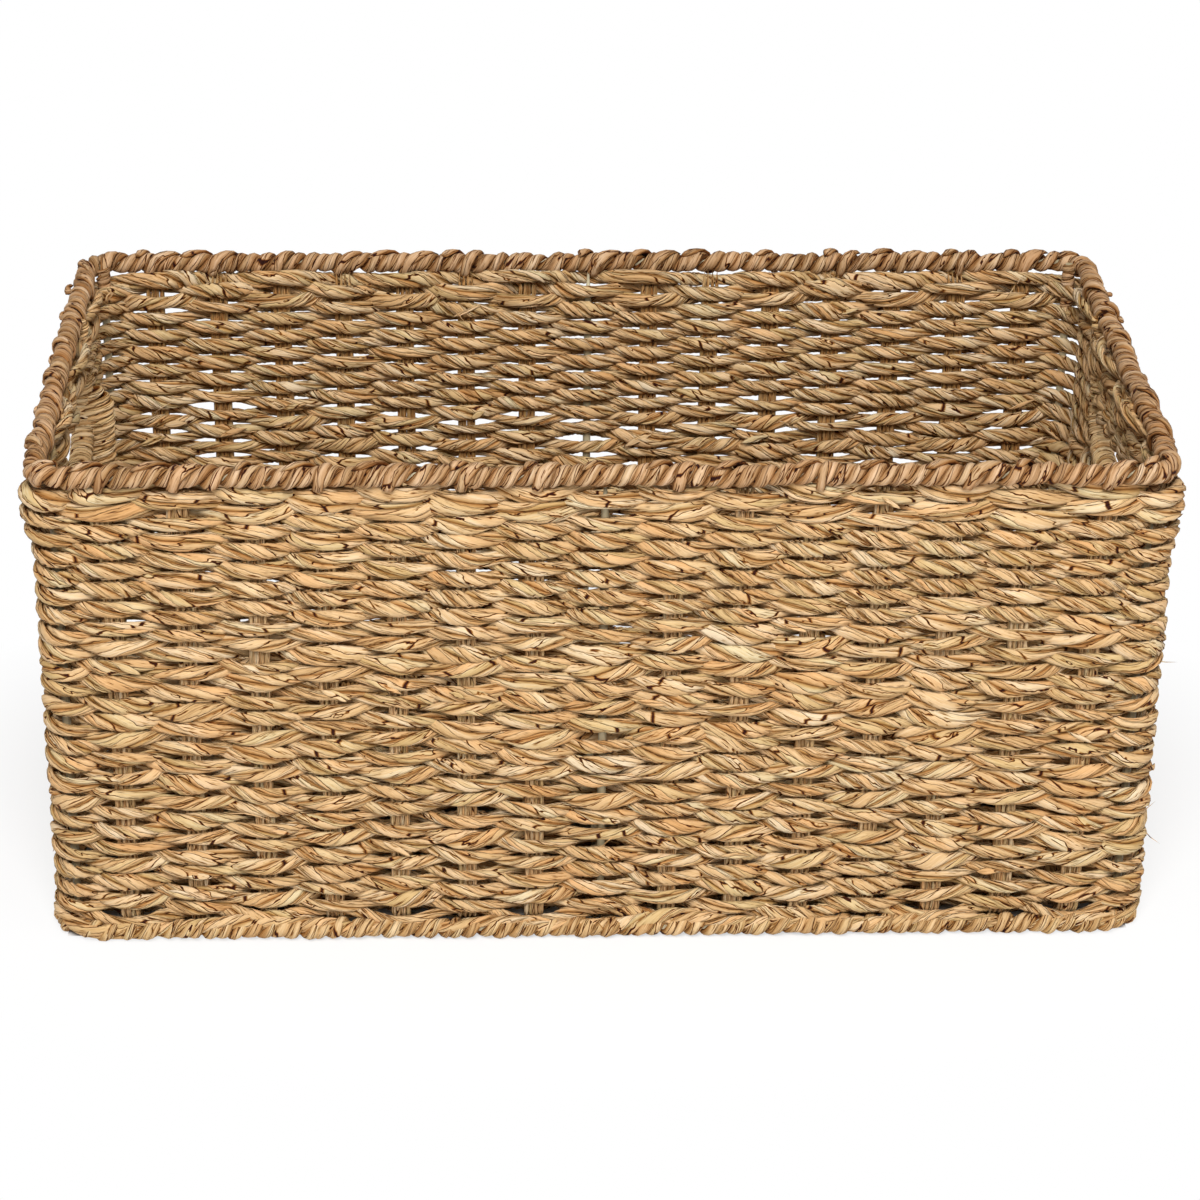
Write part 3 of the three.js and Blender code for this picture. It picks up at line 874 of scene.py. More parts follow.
@dataclass(frozen=True)
class Seagrass:
    """Dried seagrass: fibres along the strand, with dark lines between bright straw that are partly the
    leaves' own dark edges and partly painted shade, and painted shade in the creases and cracks.
    """

    shade: Shade
    dark: Colour = (0.10, 0.040, 0.010)
    middle: Colour = (0.58, 0.352, 0.155)
    bright: Colour = (0.70, 0.475, 0.252)
    pale: Colour = (0.76, 0.61, 0.415)
    green: Colour = (0.90, 0.95, 0.86)
    red: Colour = (1.0, 0.86, 0.72)
    # Painted shade in the creases: how dark it is, and how narrow.
    crease_shade_depth: float = 0.97
    crease_shade_power: float = 4.2
    variety: float = 0.34
    lift: float = 0.05
    usual_level: float = 0.57
    ramp_places: tuple[float, ...] = (0.0, 0.32, 0.66, 1.0)
    leaf_length: float = 0.028
    leaf_width: float = 0.0027
    leaf_lots: Pair = (37.0, 91.0)
    sway: Grain = Grain(70.0, 300.0, 50.0)
    sway_share: float = 1.9
    ragged: Grain = Grain(380.0, 500.0, 20.0, start=5.0)
    ragged_share: float = 0.3
    fibre: Grain = Grain(120.0, 3000.0, 90.0, detail=3.0, roughness=0.65)
    patch: Grain = Grain(30.0, 200.0, 31.0, start=7.0, detail=2.0, roughness=0.6)
    patch_share: float = 0.9
    tone_share: float = 0.3
    crack: Grain = Grain(140.0, 1700.0, 60.0, start=3.0, detail=2.0, roughness=0.6)
    crack_from: float = 0.585
    crack_most: float = 0.85
    cracking: float = 7.5
    green_from: float = 0.62
    green_rate: float = 2.5
    red_from: float = 0.38
    red_rate: float = 2.4
    line_rate: float = 26.0
    # Darkening along the leaves' edges: partly the leaves' own dark edges, partly painted shade in the
    # grooves between them.
    gap_rate: float = 2.8
    gap_most: float = 0.95
    # How much redder the painted shade turns, as powers for green and blue.
    shade_warm_powers: Pair = (1.55, 2.5)
    leaf_rate: float = 5.0
    leaf_power: float = 0.6
    relief_shares: tuple[float, float, float, float] = (0.7, 0.5, 0.4, 0.6)
    relief: float = 0.0008
    dullness: float = 0.9
    gloss_share: float = 0.4
    reflection: float = 0.15

    def build(self) -> bpy.types.Material:
        """Make the material.

        Returns:
            The material.
        """
        material = bpy.data.materials.new(f"seagrass_{self.shade.value}")
        nodes = NodeMaker(material)
        along, around = nodes.strand_places()
        tone, crease, lot = [
            nodes.value("ShaderNodeAttribute", {"attribute_name": name}, {}, "Fac")
            for name in (TONE, CREASE, LOT)
        ]
        place = (nodes, along, around, lot)
        sway = self.sway.build(*place)
        ragged = self.ragged.build(*place)
        leaf_x = along * (1.0 / self.leaf_length) + lot * self.leaf_lots[0]
        leaf_y = around * (1.0 / self.leaf_width) + lot * self.leaf_lots[1]
        leaf_y = leaf_y + sway * self.sway_share + ragged * self.ragged_share
        leaf = nodes.make("ShaderNodeSeparateColor", {}, {0: nodes.cells(leaf_x, leaf_y, "F1", "Color")})
        own, hue = Channel(nodes, leaf.outputs[0]), Channel(nodes, leaf.outputs[1])
        edge = Channel(nodes, nodes.cells(leaf_x, leaf_y, "DISTANCE_TO_EDGE", "Distance"))
        fibres = self.fibre.build(*place)
        patches = self.patch.build(*place)
        # Fine cracks: a groove in the relief, and darker in colour, partly the fibres' own dark dashes
        # and partly painted shade.
        crack = (self.crack.build(*place) - self.crack_from).at_least(0.0) * self.cracking
        crack = crack.at_most(self.crack_most)
        mean = 0.5 * (self.variety + 1.0 + self.patch_share + self.tone_share) - self.usual_level
        level = own * self.variety + fibres + patches * self.patch_share + tone * self.tone_share
        level = level - mean + self.lift
        stops = list(zip(self.ramp_places, (self.dark, self.middle, self.bright, self.pale)))
        ramp = nodes.make("ShaderNodeValToRGB", {"stops": stops}, {0: level})
        greenness = (hue - self.green_from) * self.green_rate
        greened = nodes.mix("MULTIPLY", greenness, ramp.outputs[0], (*self.green, 1.0))
        redness = (self.red_from - hue) * self.red_rate
        tinted = nodes.mix("MULTIPLY", redness, greened, (*self.red, 1.0))
        # Darker along the leaves' edges, in patches: partly the leaves' own dark edges, partly painted
        # shade in the grooves between them.
        line = (edge * self.line_rate).at_most(1.0)
        gap = ((1.0 - line) * (patches * self.gap_rate)).at_most(self.gap_most)
        # Painted shade: darker in the creases, along the leaves' edges and in the cracks.
        shadow = (1.0 - (crease ** self.crease_shade_power) * self.crease_shade_depth) * (1.0 - gap) * (1.0 - crack)
        # The painted shade darkens green and blue more than red, so it turns redder.
        green_power, blue_power = self.shade_warm_powers
        inputs = {0: shadow, 1: shadow ** green_power, 2: shadow ** blue_power}
        grey = nodes.make("ShaderNodeCombineColor", {}, inputs)
        colour = nodes.mix("MULTIPLY", 1.0, tinted, grey.outputs[0])
        of_leaf, of_fibres, of_own, of_crack = self.relief_shares
        height = ((edge * self.leaf_rate).at_most(1.0) ** self.leaf_power) * of_leaf
        height = height + fibres * of_fibres + own * of_own - crack * of_crack
        inputs = {"Strength": 1.0, "Distance": self.relief, "Height": height}
        bump = nodes.make("ShaderNodeBump", {}, inputs)
        nodes.surface({
            "Base Color": colour,
            "Roughness": self.dullness - fibres * self.gloss_share,
            "Normal": bump.outputs[0],
            "Specular IOR Level": self.reflection,
        })
        return material


@dataclass(frozen=True)
class PaintedWire:
    """Steel wire with an olive-beige paint, a little worn."""

    paint: Colour = (0.38, 0.32, 0.19)
    worn: Colour = (0.55, 0.48, 0.33)
    grain_scale: float = 420.0
    patch_scale: float = 60.0
    grain_share: float = 0.5
    patch_share: float = 0.8
    wear_from: float = 0.45
    wear_rate: float = 1.6
    relief: float = 0.0002
    smoothest: float = 0.38
    dull_share: float = 0.25
    metallic: float = 0.15

    def build(self) -> bpy.types.Material:
        """Make the material.

        Returns:
            The material.
        """
        material = bpy.data.materials.new("painted_wire")
        nodes = NodeMaker(material)
        place = nodes.make("ShaderNodeTexCoord", {}, {})
        grain, patches = [
            nodes.value("ShaderNodeTexNoise", {}, {
                "Vector": place.outputs["Object"], "Scale": scale, "Detail": 3.0, "Roughness": 0.6,
            })
            for scale in (self.grain_scale, self.patch_scale)
        ]
        wear = grain * self.grain_share + patches * self.patch_share - self.wear_from
        colour = nodes.mix("MIX", wear * self.wear_rate, (*self.paint, 1.0), (*self.worn, 1.0))
        inputs = {"Strength": 0.25, "Distance": self.relief, "Height": grain}
        bump = nodes.make("ShaderNodeBump", {}, inputs)
        nodes.surface({
            "Base Color": colour,
            "Roughness": self.smoothest + patches * self.dull_share,
            "Metallic": self.metallic,
            "Normal": bump.outputs[0],
        })
        return material


@dataclass
class Finishes:
    """The finishes of the basket, each built once."""

    weave: bpy.types.Material = field(default_factory=lambda: Seagrass(Shade.WEAVE).build())
    stake: bpy.types.Material = field(default_factory=lambda: Seagrass(
        Shade.STAKE, middle=(0.46, 0.27, 0.115), bright=(0.68, 0.46, 0.24), pale=(0.76, 0.6, 0.4),
        crease_shade_depth=0.35, crease_shade_power=1.5).build())
    rim: bpy.types.Material = field(default_factory=lambda: Seagrass(
        Shade.RIM, middle=(0.34, 0.19, 0.086), bright=(0.57, 0.365, 0.21), pale=(0.76, 0.57, 0.40),
        green=(0.94, 0.96, 0.92), red=(1.0, 0.93, 0.86), crease_shade_depth=0.99, crease_shade_power=0.85,
        variety=0.22, leaf_width=0.0036, cracking=9.0).build())
    bar: bpy.types.Material = field(default_factory=lambda: Seagrass(
        Shade.BAR, middle=(0.54, 0.32, 0.135), bright=(0.84, 0.60, 0.33), pale=(0.94, 0.78, 0.55),
        green=(0.93, 0.95, 0.90), red=(1.0, 0.92, 0.84), crease_shade_depth=0.96, crease_shade_power=1.2,
        leaf_width=0.0022).build())
    border: bpy.types.Material = field(default_factory=lambda: Seagrass(
        Shade.BORDER, middle=(0.42, 0.245, 0.102), bright=(0.68, 0.47, 0.25), pale=(0.82, 0.66, 0.43),
        green=(0.93, 0.95, 0.90), red=(1.0, 0.92, 0.84), crease_shade_depth=0.97, crease_shade_power=0.9,
        variety=0.3, leaf_width=0.0034, cracking=9.0).build())
    wire: bpy.types.Material = field(default_factory=lambda: PaintedWire().build())


def dress(piece: bpy.types.Object, material: bpy.types.Material, slot: str, *nodes: str) -> None:
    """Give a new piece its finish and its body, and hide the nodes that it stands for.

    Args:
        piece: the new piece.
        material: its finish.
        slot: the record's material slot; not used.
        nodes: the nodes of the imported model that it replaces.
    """
    piece.data.materials.clear()
    piece.data.materials.append(material)
    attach(piece, "root")
    if nodes:
        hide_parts(*nodes)
    log.info("%s: %d faces", piece.name, len(piece.data.polygons))


# The weave


@dataclass(frozen=True)
class LooseEnd:
    """A leaf's end or a thin fibre on the weave: for each size the middle value and the spread."""

    length: Pair
    slope: Pair
    lift: Pair
    width: Pair


@dataclass
class Weaving:
    """What the woven and wound parts of the basket have in common."""

    layout: Layout
    finishes: Finishes
    settle: Settle


@dataclass
class WovenWalls(Weaving):
    """The rows of twisted cord that weave round the basket, two passes to each row of the model."""

    cord: TwistedCord = field(default_factory=TwistedCord)
    top_passes: int = 3
    top_calm: float = 0.75
    upper_calm: float = 0.5
    step: float = 0.0023
    sides: int = 8
    cord_height: float = 0.0073
    cord_thickness: float = 0.0042
    float_shift: float = 0.0008
    float_spread: float = 0.19
    sag_runs: int = 4
    leaf_ends: int = 9
    loose_fibres: int = 2
    leaf_end: LooseEnd = LooseEnd((0.012, 0.005), (-0.28, 0.3), (0.0004, 0.0005), (0.0014, 0.0005))
    loose_fibre: LooseEnd = LooseEnd((0.017, 0.008), (0.0, 0.9), (0.0045, 0.003), (0.0002, 0.0))
    loose_half_thickness: float = 0.00022
    loose_tone: Pair = (0.6, 0.4)
    loose_points: int = 7
    loose_taper: float = 0.75
    loose_nearness: float = 0.7
    ply_tone: Pair = (0.5, 0.3)
    pinch: float = 0.78
    top_squeeze: float = 1.04
    edge_squeeze: float = 0.95
    lay_repeat: int = 7
    other_lay: tuple[int, ...] = (2, 5)
    back_slack: float = 0.11
    low_slack: float = 0.07
    low_from: int = 24
    low_passes: int = 12
    corner_fade: float = 0.03
    stand_off: float = 0.0015
    plateau: float = 0.08
    turn_margin: float = 0.003
    height_waves: Pair = (45, 0.13)
    thickness_waves: Pair = (35, 0.12)
    level_waves: Pair = (18, 0.0005)
    offset_waves: Pair = (30, 0.0004)
    top_lift: float = 0.0007
    top_tilt: float = 0.0014
    edge_lift: float = 0.0002
    edge_tilt: float = 0.0016
    edge_waves: Pair = (40, 0.0008)
    edge_out: Pair = (0.55, 0.45)
    hanging_lift: float = 0.0006
    hanging_limits: Pair = (0.0044, 0.0095)
    hanging_waves: Pair = (15, 0.0022)
    hanging_out: Pair = (1.28, 0.1)
    hanging_out_waves: Pair = (25, 0.08)
    sag_inset: float = 0.0075
    sag_drop: float = 0.0028
    sag_side_waves: Pair = (22, 0.0022)
    sag_level_waves: Pair = (18, 0.0012)
    sag_thickness: float = 1.15
    sag_thickness_waves: Pair = (30, 0.2)
    sag_height: float = 0.86
    sag_height_waves: Pair = (30, 0.18)
    sag_tones: Pair = (0.35, 0.5)
    bar_reach: float = 0.0049
    beside_holes: range = range(4, 14)
    held_run: float = 0.022
    held_stake: float = 0.026
    held_share: float = 0.75
    held_near: float = 0.2
    turn_near: float = -0.6
    band_section: int = 5
    band_level_waves: Pair = (140, 0.0003)
    band_tone: Pair = (0.5, 0.1)

    def __post_init__(self) -> None:
        """Work out the stations, where the cords pass the stakes and posts."""
        layout = self.layout
        self.line = layout.wall_line()
        line = self.line
        front_x = layout.crossings()
        ends_y = sorted(layout.end_stake_y)
        places = [line.front(x) for x in front_x]
        places.append(line.corner(0))
        places += [line.right(y) for y in ends_y]
        places.append(line.corner(1))
        places += [line.back(x) for x in reversed(front_x)]
        places.append(line.corner(2))
        places += [line.left(y) for y in reversed(ends_y)]
        places.append(line.corner(3))
        once = np.array(places)
        self.edge_pass = 2 * layout.row_count
        self.crossings = once
        self.stations = np.concatenate([once - line.length, once, once + line.length])

    def offsets(self, places: np.ndarray, number: int) -> tuple[np.ndarray, np.ndarray]:
        """Find how far a pass of cord stands outside or inside the stakes.

        Args:
            places: distances along the wall's line.
            number: the pass, from the top.

        Returns:
            The offset outwards at each place, and how near the place is to a stake, from -1 to 1.
        """
        before, share = between(places, self.stations)
        crossed = np.clip((share - self.plateau) / (1.0 - 2 * self.plateau), 0.0, 1.0)
        side = np.where((before + number) % 2 == 0, 1.0, -1.0)
        return side * np.cos(math.pi * crossed), np.cos(2 * math.pi * share)

    def side_at(self, place: float, number: int) -> float:
        """Return the offset of a pass at one place, from -1 inside the stakes to 1 outside them."""
        return float(self.offsets(np.array([place]), number)[0][0])

    def pass_z(self, number: int) -> float:
        """Return the height of a pass of cord."""
        return self.layout.weave_top_z - (number + 0.5) * self.layout.row_pitch / 2

    def by_float(self, places: np.ndarray, drift: Drift, spread: float) -> np.ndarray:
        """Give each float its own value, which changes smoothly from float to float.

        Args:
            places: distances along the wall's line.
            drift: the seeded variation.
            spread: how far the values go from zero, about.

        Returns:
            The value at each place.
        """
        values = np.clip(drift.random.normal(size=len(self.crossings)), -2.0, 2.0) * spread
        return np.interp(places, self.crossings, values, period=self.line.length)

    def section(self, near: np.ndarray, shares: np.ndarray, number: int,
                drift: Drift) -> tuple[np.ndarray, np.ndarray]:
        """Find the cord's thickness and height at each point.

        Args:
            near: how near each point is to a stake, from -1 to 1.
            shares: places along the pass, from 0 to 1.
            number: the pass.
            drift: the seeded variation.

        Returns:
            Thickness and height.
        """
        squeeze = (1 + self.pinch) / 2 + (1 - self.pinch) / 2 * near
        if number < self.top_passes:
            squeeze = self.top_squeeze
        elif number >= self.edge_pass:
            squeeze = self.edge_squeeze
        height = self.cord_height * squeeze * (1 + drift.wander(shares, *self.height_waves))
        thickness = self.cord_thickness * (1 + drift.wander(shares, *self.thickness_waves))
        return thickness, height

    def add_round(self, bundle: StrandBundle, number: int) -> None:
        """Add one pass that goes right round the basket.

        Args:
            bundle: where it goes.
            number: the pass.
        """
        drift = Drift(Seed.ROWS + number)
        count = int(self.line.length / self.step)
        shares = np.linspace(0.0, 1.0, count + 1)
        places = shares * self.line.length + self.line.corner(2)
        offset, near = self.offsets(np.mod(places, self.line.length), number)
        level = self.pass_z(number) + drift.wander(shares, *self.level_waves)
        level = level + self.by_float(places, drift, self.float_shift)
        if number == 0:
            level = level + self.top_lift - self.top_tilt * offset
        elif number == self.edge_pass:
            level = level + self.edge_lift - self.edge_tilt * offset
            level = level + drift.wander(shares, *self.edge_waves)
            offset = self.edge_out[0] + self.edge_out[1] * offset
        elif number > self.edge_pass:
            level = level + self.hanging_lift + drift.wander(shares, *self.hanging_waves)
            level = np.clip(level, *self.hanging_limits)
            offset = self.hanging_out[0] + self.hanging_out[1] * offset
            offset = offset + drift.wander(shares, *self.hanging_out_waves)
        reach = self.stand_off + self.cord_thickness / 2 + drift.wander(shares, *self.offset_waves)
        points, outward = self.line.locate(places)
        points = points + outward * (offset * reach)[:, None]
        points[:, 2] = level
        path = StrandPath(points, outward, closed=True)
        path.points[-1] = path.points[0]
        thickness, height = self.section(near, shares, number, drift)
        height = height * (1.0 + self.by_float(places, drift, self.float_spread))
        height = height * (1.0 - self.back_slack * self.front_shares(places + self.line.length / 2))
        lowness = min(max(number - self.low_from, 0) / self.low_passes, 1.0)
        height = height * (1.0 - self.low_slack * lowness)
        tones = (drift.about(*self.ply_tone), drift.about(*self.ply_tone))
        calm = self.upper_calm * (1.0 - number / self.edge_pass) * self.front_shares(places)
        if number < self.top_passes:
            calm = self.top_calm * self.front_shares(places)
        hand = -1.0 if number % self.lay_repeat in self.other_lay else 1.0
        self.cord.add_to(bundle, path, thickness, height, drift, tones, calm, hand)
        self.add_loose(bundle, number, drift)

    def front_shares(self, places: np.ndarray) -> np.ndarray:
        """Find how much each place is on the front wall.

        Args:
            places: distances along the wall's line.

        Returns:
            1 on the front wall and 0 on the others, with an even change at the corners.
        """
        line = self.line
        beyond = np.abs(np.mod(places + line.length / 2, line.length) - line.length / 2)
        return np.clip((line.half_length - beyond) / self.corner_fade, 0.0, 1.0)

    def add_sag(self, bundle: StrandBundle) -> None:
        """Add the loose turns of cord that hang below the top rows over the right hand hole.

        Args:
            bundle: where they go.
        """
        drift = Drift(Seed.LOOSE_RUNS)
        half = self.layout.leg_y - self.sag_inset
        drop = self.layout.row_pitch / 2
        rows = []
        for run in range(self.sag_runs):
            travel = 1.0 if run % 2 == 0 else -1.0
            z = self.layout.hole_top_z - self.sag_drop - run * drop
            y = travel * np.linspace(-half, half, int(2 * half / self.step) + 1)
            rows.append(np.column_stack([y, np.full(len(y), z)]))
            if run < self.sag_runs - 1:
                turn_y = travel * (half + self.turn_margin * np.sin(TURN_ANGLES))
                rows.append(np.column_stack([turn_y, z - drop * (1 - np.cos(TURN_ANGLES)) / 2]))
        table = np.concatenate(rows)
        count = len(table)
        shares = np.linspace(0.0, 1.0, count)
        x = self.layout.wall_half_length + drift.wander(shares, *self.sag_side_waves)
        z = table[:, 1] + drift.wander(shares, *self.sag_level_waves)
        path = StrandPath(np.column_stack([x, table[:, 0], z]), np.tile(EAST, (count, 1)))
        thickness = self.sag_thickness + drift.wander(shares, *self.sag_thickness_waves)
        height = self.sag_height + drift.wander(shares, *self.sag_height_waves)
        self.cord.add_to(bundle, path, self.cord_thickness * thickness, self.cord_height * height,
                         drift, self.sag_tones)

    def add_loose(self, bundle: StrandBundle, number: int, drift: Drift) -> None:
        """Add the ends of a few leaves, which lie on the floats, and thin fibres that stand off.

        Args:
            bundle: where they go.
            number: the pass that they are on.
            drift: the seeded variation.
        """
        run = np.linspace(0.0, 1.0, self.loose_points)
        reach = self.stand_off + self.cord_thickness
        for item in range(self.leaf_ends + self.loose_fibres):
            kind = self.leaf_end if item < self.leaf_ends else self.loose_fibre
            place = drift.about(0.5, 0.5) * self.line.length
            near = self.side_at(place, number)
            length = drift.about(*kind.length)
            slope = drift.about(*kind.slope)
            lift = drift.about(*kind.lift)
            width = drift.about(*kind.width) if kind.width[1] else kind.width[0]
            tone = drift.about(*self.loose_tone)
            if abs(near) < self.loose_nearness:
                continue
            side = math.copysign(1.0, near)
            points, outward = self.line.locate(place + (run - 0.5) * length * math.cos(slope))
            points = points + outward * (side * (reach + lift * (2 * run - 1.0) ** 2))[:, None]
            points[:, 2] = self.pass_z(number) + (run - 0.5) * length * math.sin(slope)
            taper = 1.0 - self.loose_taper * np.abs(2 * run - 1.0) ** 1.5
            path = StrandPath(points, outward * side)
            bundle.add_flat(path, self.loose_half_thickness, width * taper, tone)

    def bar_outer_y(self, z: float) -> float:
        """Find the outer side of the wound bar of a hand hole.

        Args:
            z: a height.

        Returns:
            How far that side is from the middle of the end wall at that height.
        """
        radius = self.layout.hole_corner_radius
        reach = radius + self.bar_reach
        drop = max(self.layout.bar_z + radius - z, 0.0)
        return self.layout.leg_y - radius + math.sqrt(max(reach ** 2 - drop ** 2, 0.0))

    def add_band(self, bundle: StrandBundle, side: int, passes: range) -> None:
        """Add the cord that goes to and fro beside the hand holes, round one half of the basket.

        Args:
            bundle: where it goes.
            side: -1 for the front half, 1 for the back half.
            passes: the passes that it makes.
        """
        drift = Drift(Seed.BANDS + side)
        middle = 0.0 if side < 0 else self.line.length / 2
        chunks = []
        reach = self.stand_off + self.cord_thickness / 2
        for run, number in enumerate(passes):
            z = self.pass_z(number)
            half = self.half_run(z)
            travel = 1.0 if run % 2 == 0 else -1.0
            count = int(2 * half / self.step)
            places = middle + travel * np.linspace(-half, half, count + 1)
            offset, near = self.offsets(places, number)
            beyond = np.abs(places - middle) > half - self.held_run
            last_stake = travel * (half - self.held_stake)
            last_side = np.sign(self.side_at(middle + last_stake, number))
            first_side = np.sign(self.side_at(middle - last_stake, number))
            held = np.where((places - middle) * travel > 0, last_side, first_side) * self.held_share
            offset = np.where(beyond, held, offset)
            near = np.where(beyond, self.held_near, near)
            chunks.append(np.stack([places, offset * reach, np.full(count + 1, z), near], axis=1))
            if number != passes[-1]:
                chunks.append(self.turn(middle, travel, half, z, held[-1] * reach))
        table = np.concatenate(chunks)
        table[:, 1] = self.softened(table[:, 1])
        shares = np.linspace(0.0, 1.0, len(table))
        points, outward = self.line.locate(table[:, 0])
        points = points + outward * table[:, 1][:, None]
        points[:, 2] = table[:, 2] + drift.wander(shares, *self.band_level_waves)
        path = StrandPath(points, outward)
        thickness, height = self.section(table[:, 3], shares, self.band_section, drift)
        if side > 0:
            height = height * (1.0 - self.back_slack)
        tones = (drift.about(*self.band_tone), drift.about(*self.band_tone))
        self.cord.add_to(bundle, path, thickness, height, drift, tones)

    def softened(self, values: np.ndarray) -> np.ndarray:
        """Smooth values with a short running average.

        Args:
            values: the values.

        Returns:
            As many values, with the ends kept.
        """
        kernel = np.array([1.0, 2.0, 3.0, 2.0, 1.0]) / 9.0
        padded = np.concatenate([np.full(2, values[0]), values, np.full(2, values[-1])])
        return np.convolve(padded, kernel, mode="valid")

    def half_run(self, z: float) -> float:
        """Return half the length of a pass beside the hand holes."""
        end_y = self.bar_outer_y(z) + self.cord_thickness / 2
        return self.line.right(-end_y) - self.turn_margin

    def turn(self, middle: float, travel: float, half: float, z: float, offset: float) -> np.ndarray:
        """Make the points where the cord turns back to the next pass.

        Args:
            middle: the place of the middle of the run.
            travel: 1 or -1, the way that the run goes.
            half: half the run's length.
            z: the run's height.
            offset: how far the cord is outside the stakes' plane.

        Returns:
            Rows of place, offset, height and nearness.
        """
        drop = self.layout.row_pitch / 2
        ends = half + (self.half_run(z - drop) - half) * TURN_ANGLES / math.pi
        places = middle + travel * (ends + self.turn_margin * np.sin(TURN_ANGLES))
        heights = z - drop * (1 - np.cos(TURN_ANGLES)) / 2
        near = np.full(len(places), self.turn_near)
        return np.stack([places, offset * np.cos(TURN_ANGLES), heights, near], axis=1)

    def build(self) -> None:
        """Build all the rows and dress them."""
        for row in range(self.layout.row_count):
            if 2 * row in self.beside_holes:
                continue
            name = f"weaver_row_{row + 1:02d}"
            bundle = StrandBundle(f"cord_{name}", self.sides, self.settle)
            self.add_round(bundle, 2 * row)
            self.add_round(bundle, 2 * row + 1)
            if row == 1:
                self.add_sag(bundle)
            if row == self.layout.row_count - 1:
                self.add_round(bundle, self.edge_pass)
                self.add_round(bundle, self.edge_pass + 1)
            dress(bundle.finish(), self.finishes.weave, "woven_cord", name)
        for side, node in ((-1, "front_band_weaver"), (1, "back_band_weaver")):
            bundle = StrandBundle(f"cord_{node}", self.sides, self.settle)
            self.add_band(bundle, side, self.beside_holes)
            dress(bundle.finish(), self.finishes.weave, "woven_cord", node)


# Stakes


@dataclass
class Stakes(Weaving):
    """The flat bands of straight strands that the rows weave round."""

    strand_count: int = 4
    strand_pitch: float = 0.0019
    strand_half_width: float = 0.00115
    half_thickness: float = 0.0029
    bend_radius: float = 0.003
    spacing: float = 0.008
    base_rise: float = 0.0036
    tuck: float = 0.0028
    sides: int = 6
    side_waves: Pair = (9, 0.0002)
    strand_tone: Pair = (0.45, 0.3)
    tone_waves: Pair = (8, 0.1)
    rim_margin: float = 0.01
    band_gap: float = 0.0003

    def outline(self, wall: float, top_z: float, rises: list[Pair]) -> np.ndarray:
        """Trace a stake from the top of one wall, through the base and up the other.

        Args:
            wall: the distance of each wall from the middle.
            top_z: the stake's upper end.
            rises: distances from the middle and heights above the base's middle, along the base.

        Returns:
            Rows of distance, height, and the way that the stake faces, as distance and height.
        """
        base = self.layout.base_z
        bend = self.bend_radius
        heights = np.linspace(top_z, base + bend, max(2, int((top_z - base) / self.spacing)))
        down = [(-wall, float(z), -1.0, 0.0) for z in heights]
        turn = []
        for angle in np.linspace(0.0, math.pi / 2, 5)[1:-1]:
            cos, sin = math.cos(angle), math.sin(angle)
            turn.append((-wall + bend - bend * cos, base + bend - bend * sin, -cos, -sin))
        reach = wall - bend
        flat_places = np.linspace(-reach, reach, int(2 * reach / self.spacing))
        known = np.array([-reach, *[place for place, _ in rises], reach])
        values = np.array([0.0, *[rise for _, rise in rises], 0.0])
        flat_rises = eased(flat_places, known, values)
        flat = [(place, base + rise, 0.0, -1.0) for place, rise in zip(flat_places, flat_rises)]
        half = down + turn
        mirrored = [(-place, z, -out, lift) for place, z, out, lift in reversed(half)]
        return np.array(half + flat + mirrored)

    def add_band(self, name: str, rows: np.ndarray, across: np.ndarray, run: np.ndarray,
                 origin: np.ndarray, seed: int) -> None:
        """Sweep the strands of one stake.

        Args:
            name: the node that the stake replaces.
            rows: the stake's outline, as outline returns it.
            across: the unit vector across the band.
            run: the unit vector of the outline's distances.
            origin: where the outline's distance is 0, at z 0.
            seed: the seed of its variation.
        """
        drift = Drift(seed)
        bundle = StrandBundle(f"band_{name}", self.sides, self.settle)
        line = origin + rows[:, 0][:, None] * run + rows[:, 1][:, None] * UP
        facing = rows[:, 2][:, None] * run + rows[:, 3][:, None] * UP
        shares = np.linspace(0.0, 1.0, len(line))
        for strand in range(self.strand_count):
            shift = (strand - (self.strand_count - 1) / 2) * self.strand_pitch
            shift = shift + drift.wander(shares, *self.side_waves)
            lift = drift.wander(shares, *self.side_waves)
            points = line + across * np.reshape(shift, (-1, 1)) + facing * np.reshape(lift, (-1, 1))
            tone = drift.about(*self.strand_tone) + drift.wander(shares, *self.tone_waves)
            tone = np.clip(tone, 0.0, 1.0)
            path = StrandPath(points, facing)
            bundle.add_flat(path, self.half_thickness, self.strand_half_width, tone)
        dress(bundle.finish(), self.finishes.stake, "stake_cord", name)

    def build(self) -> None:
        """Build every stake and dress it."""
        layout = self.layout
        top = layout.weave_top_z + self.tuck
        for number, x in enumerate(layout.stake_x, start=1):
            rows = self.outline(layout.wall_half_depth, top, [])
            name = f"cross_stake_{number:02d}"
            self.add_band(name, rows, EAST, NORTH, x * EAST, Seed.CROSS_STAKES + number)
        for index, y in enumerate(layout.end_stake_y):
            to_rim = abs(y) > layout.leg_y + self.rim_margin
            rises = [(x, self.base_rise if (step + index + 1) % 2 == 0 else -self.base_rise)
                     for step, x in enumerate(layout.crossings())]
            rows = self.outline(
                layout.wall_half_length, top if to_rim else layout.band_bottom_z - self.band_gap, rises)
            name = f"length_stake_{index + 1}"
            self.add_band(name, rows, NORTH, EAST, y * NORTH, Seed.LENGTH_STAKES + index)
        self.build_short()

    def build_short(self) -> None:
        """Build the four short stakes above the hand holes."""
        layout = self.layout
        inner = sorted(layout.end_stake_y, key=abs)[0]
        heights = np.linspace(layout.weave_top_z, layout.hole_top_z, 5)
        for end, side in (("left", -1.0), ("right", 1.0)):
            for place, y in (("front", -abs(inner)), ("back", abs(inner))):
                rows = np.array([(0.0, z, side, 0.0) for z in heights])
                origin = np.array([side * layout.wall_half_length, y, 0.0])
                name = f"{end}_{place}_short_stake"
                self.add_band(name, rows, NORTH, EAST, origin, Seed.SHORT_STAKES + int(side))


# Windings


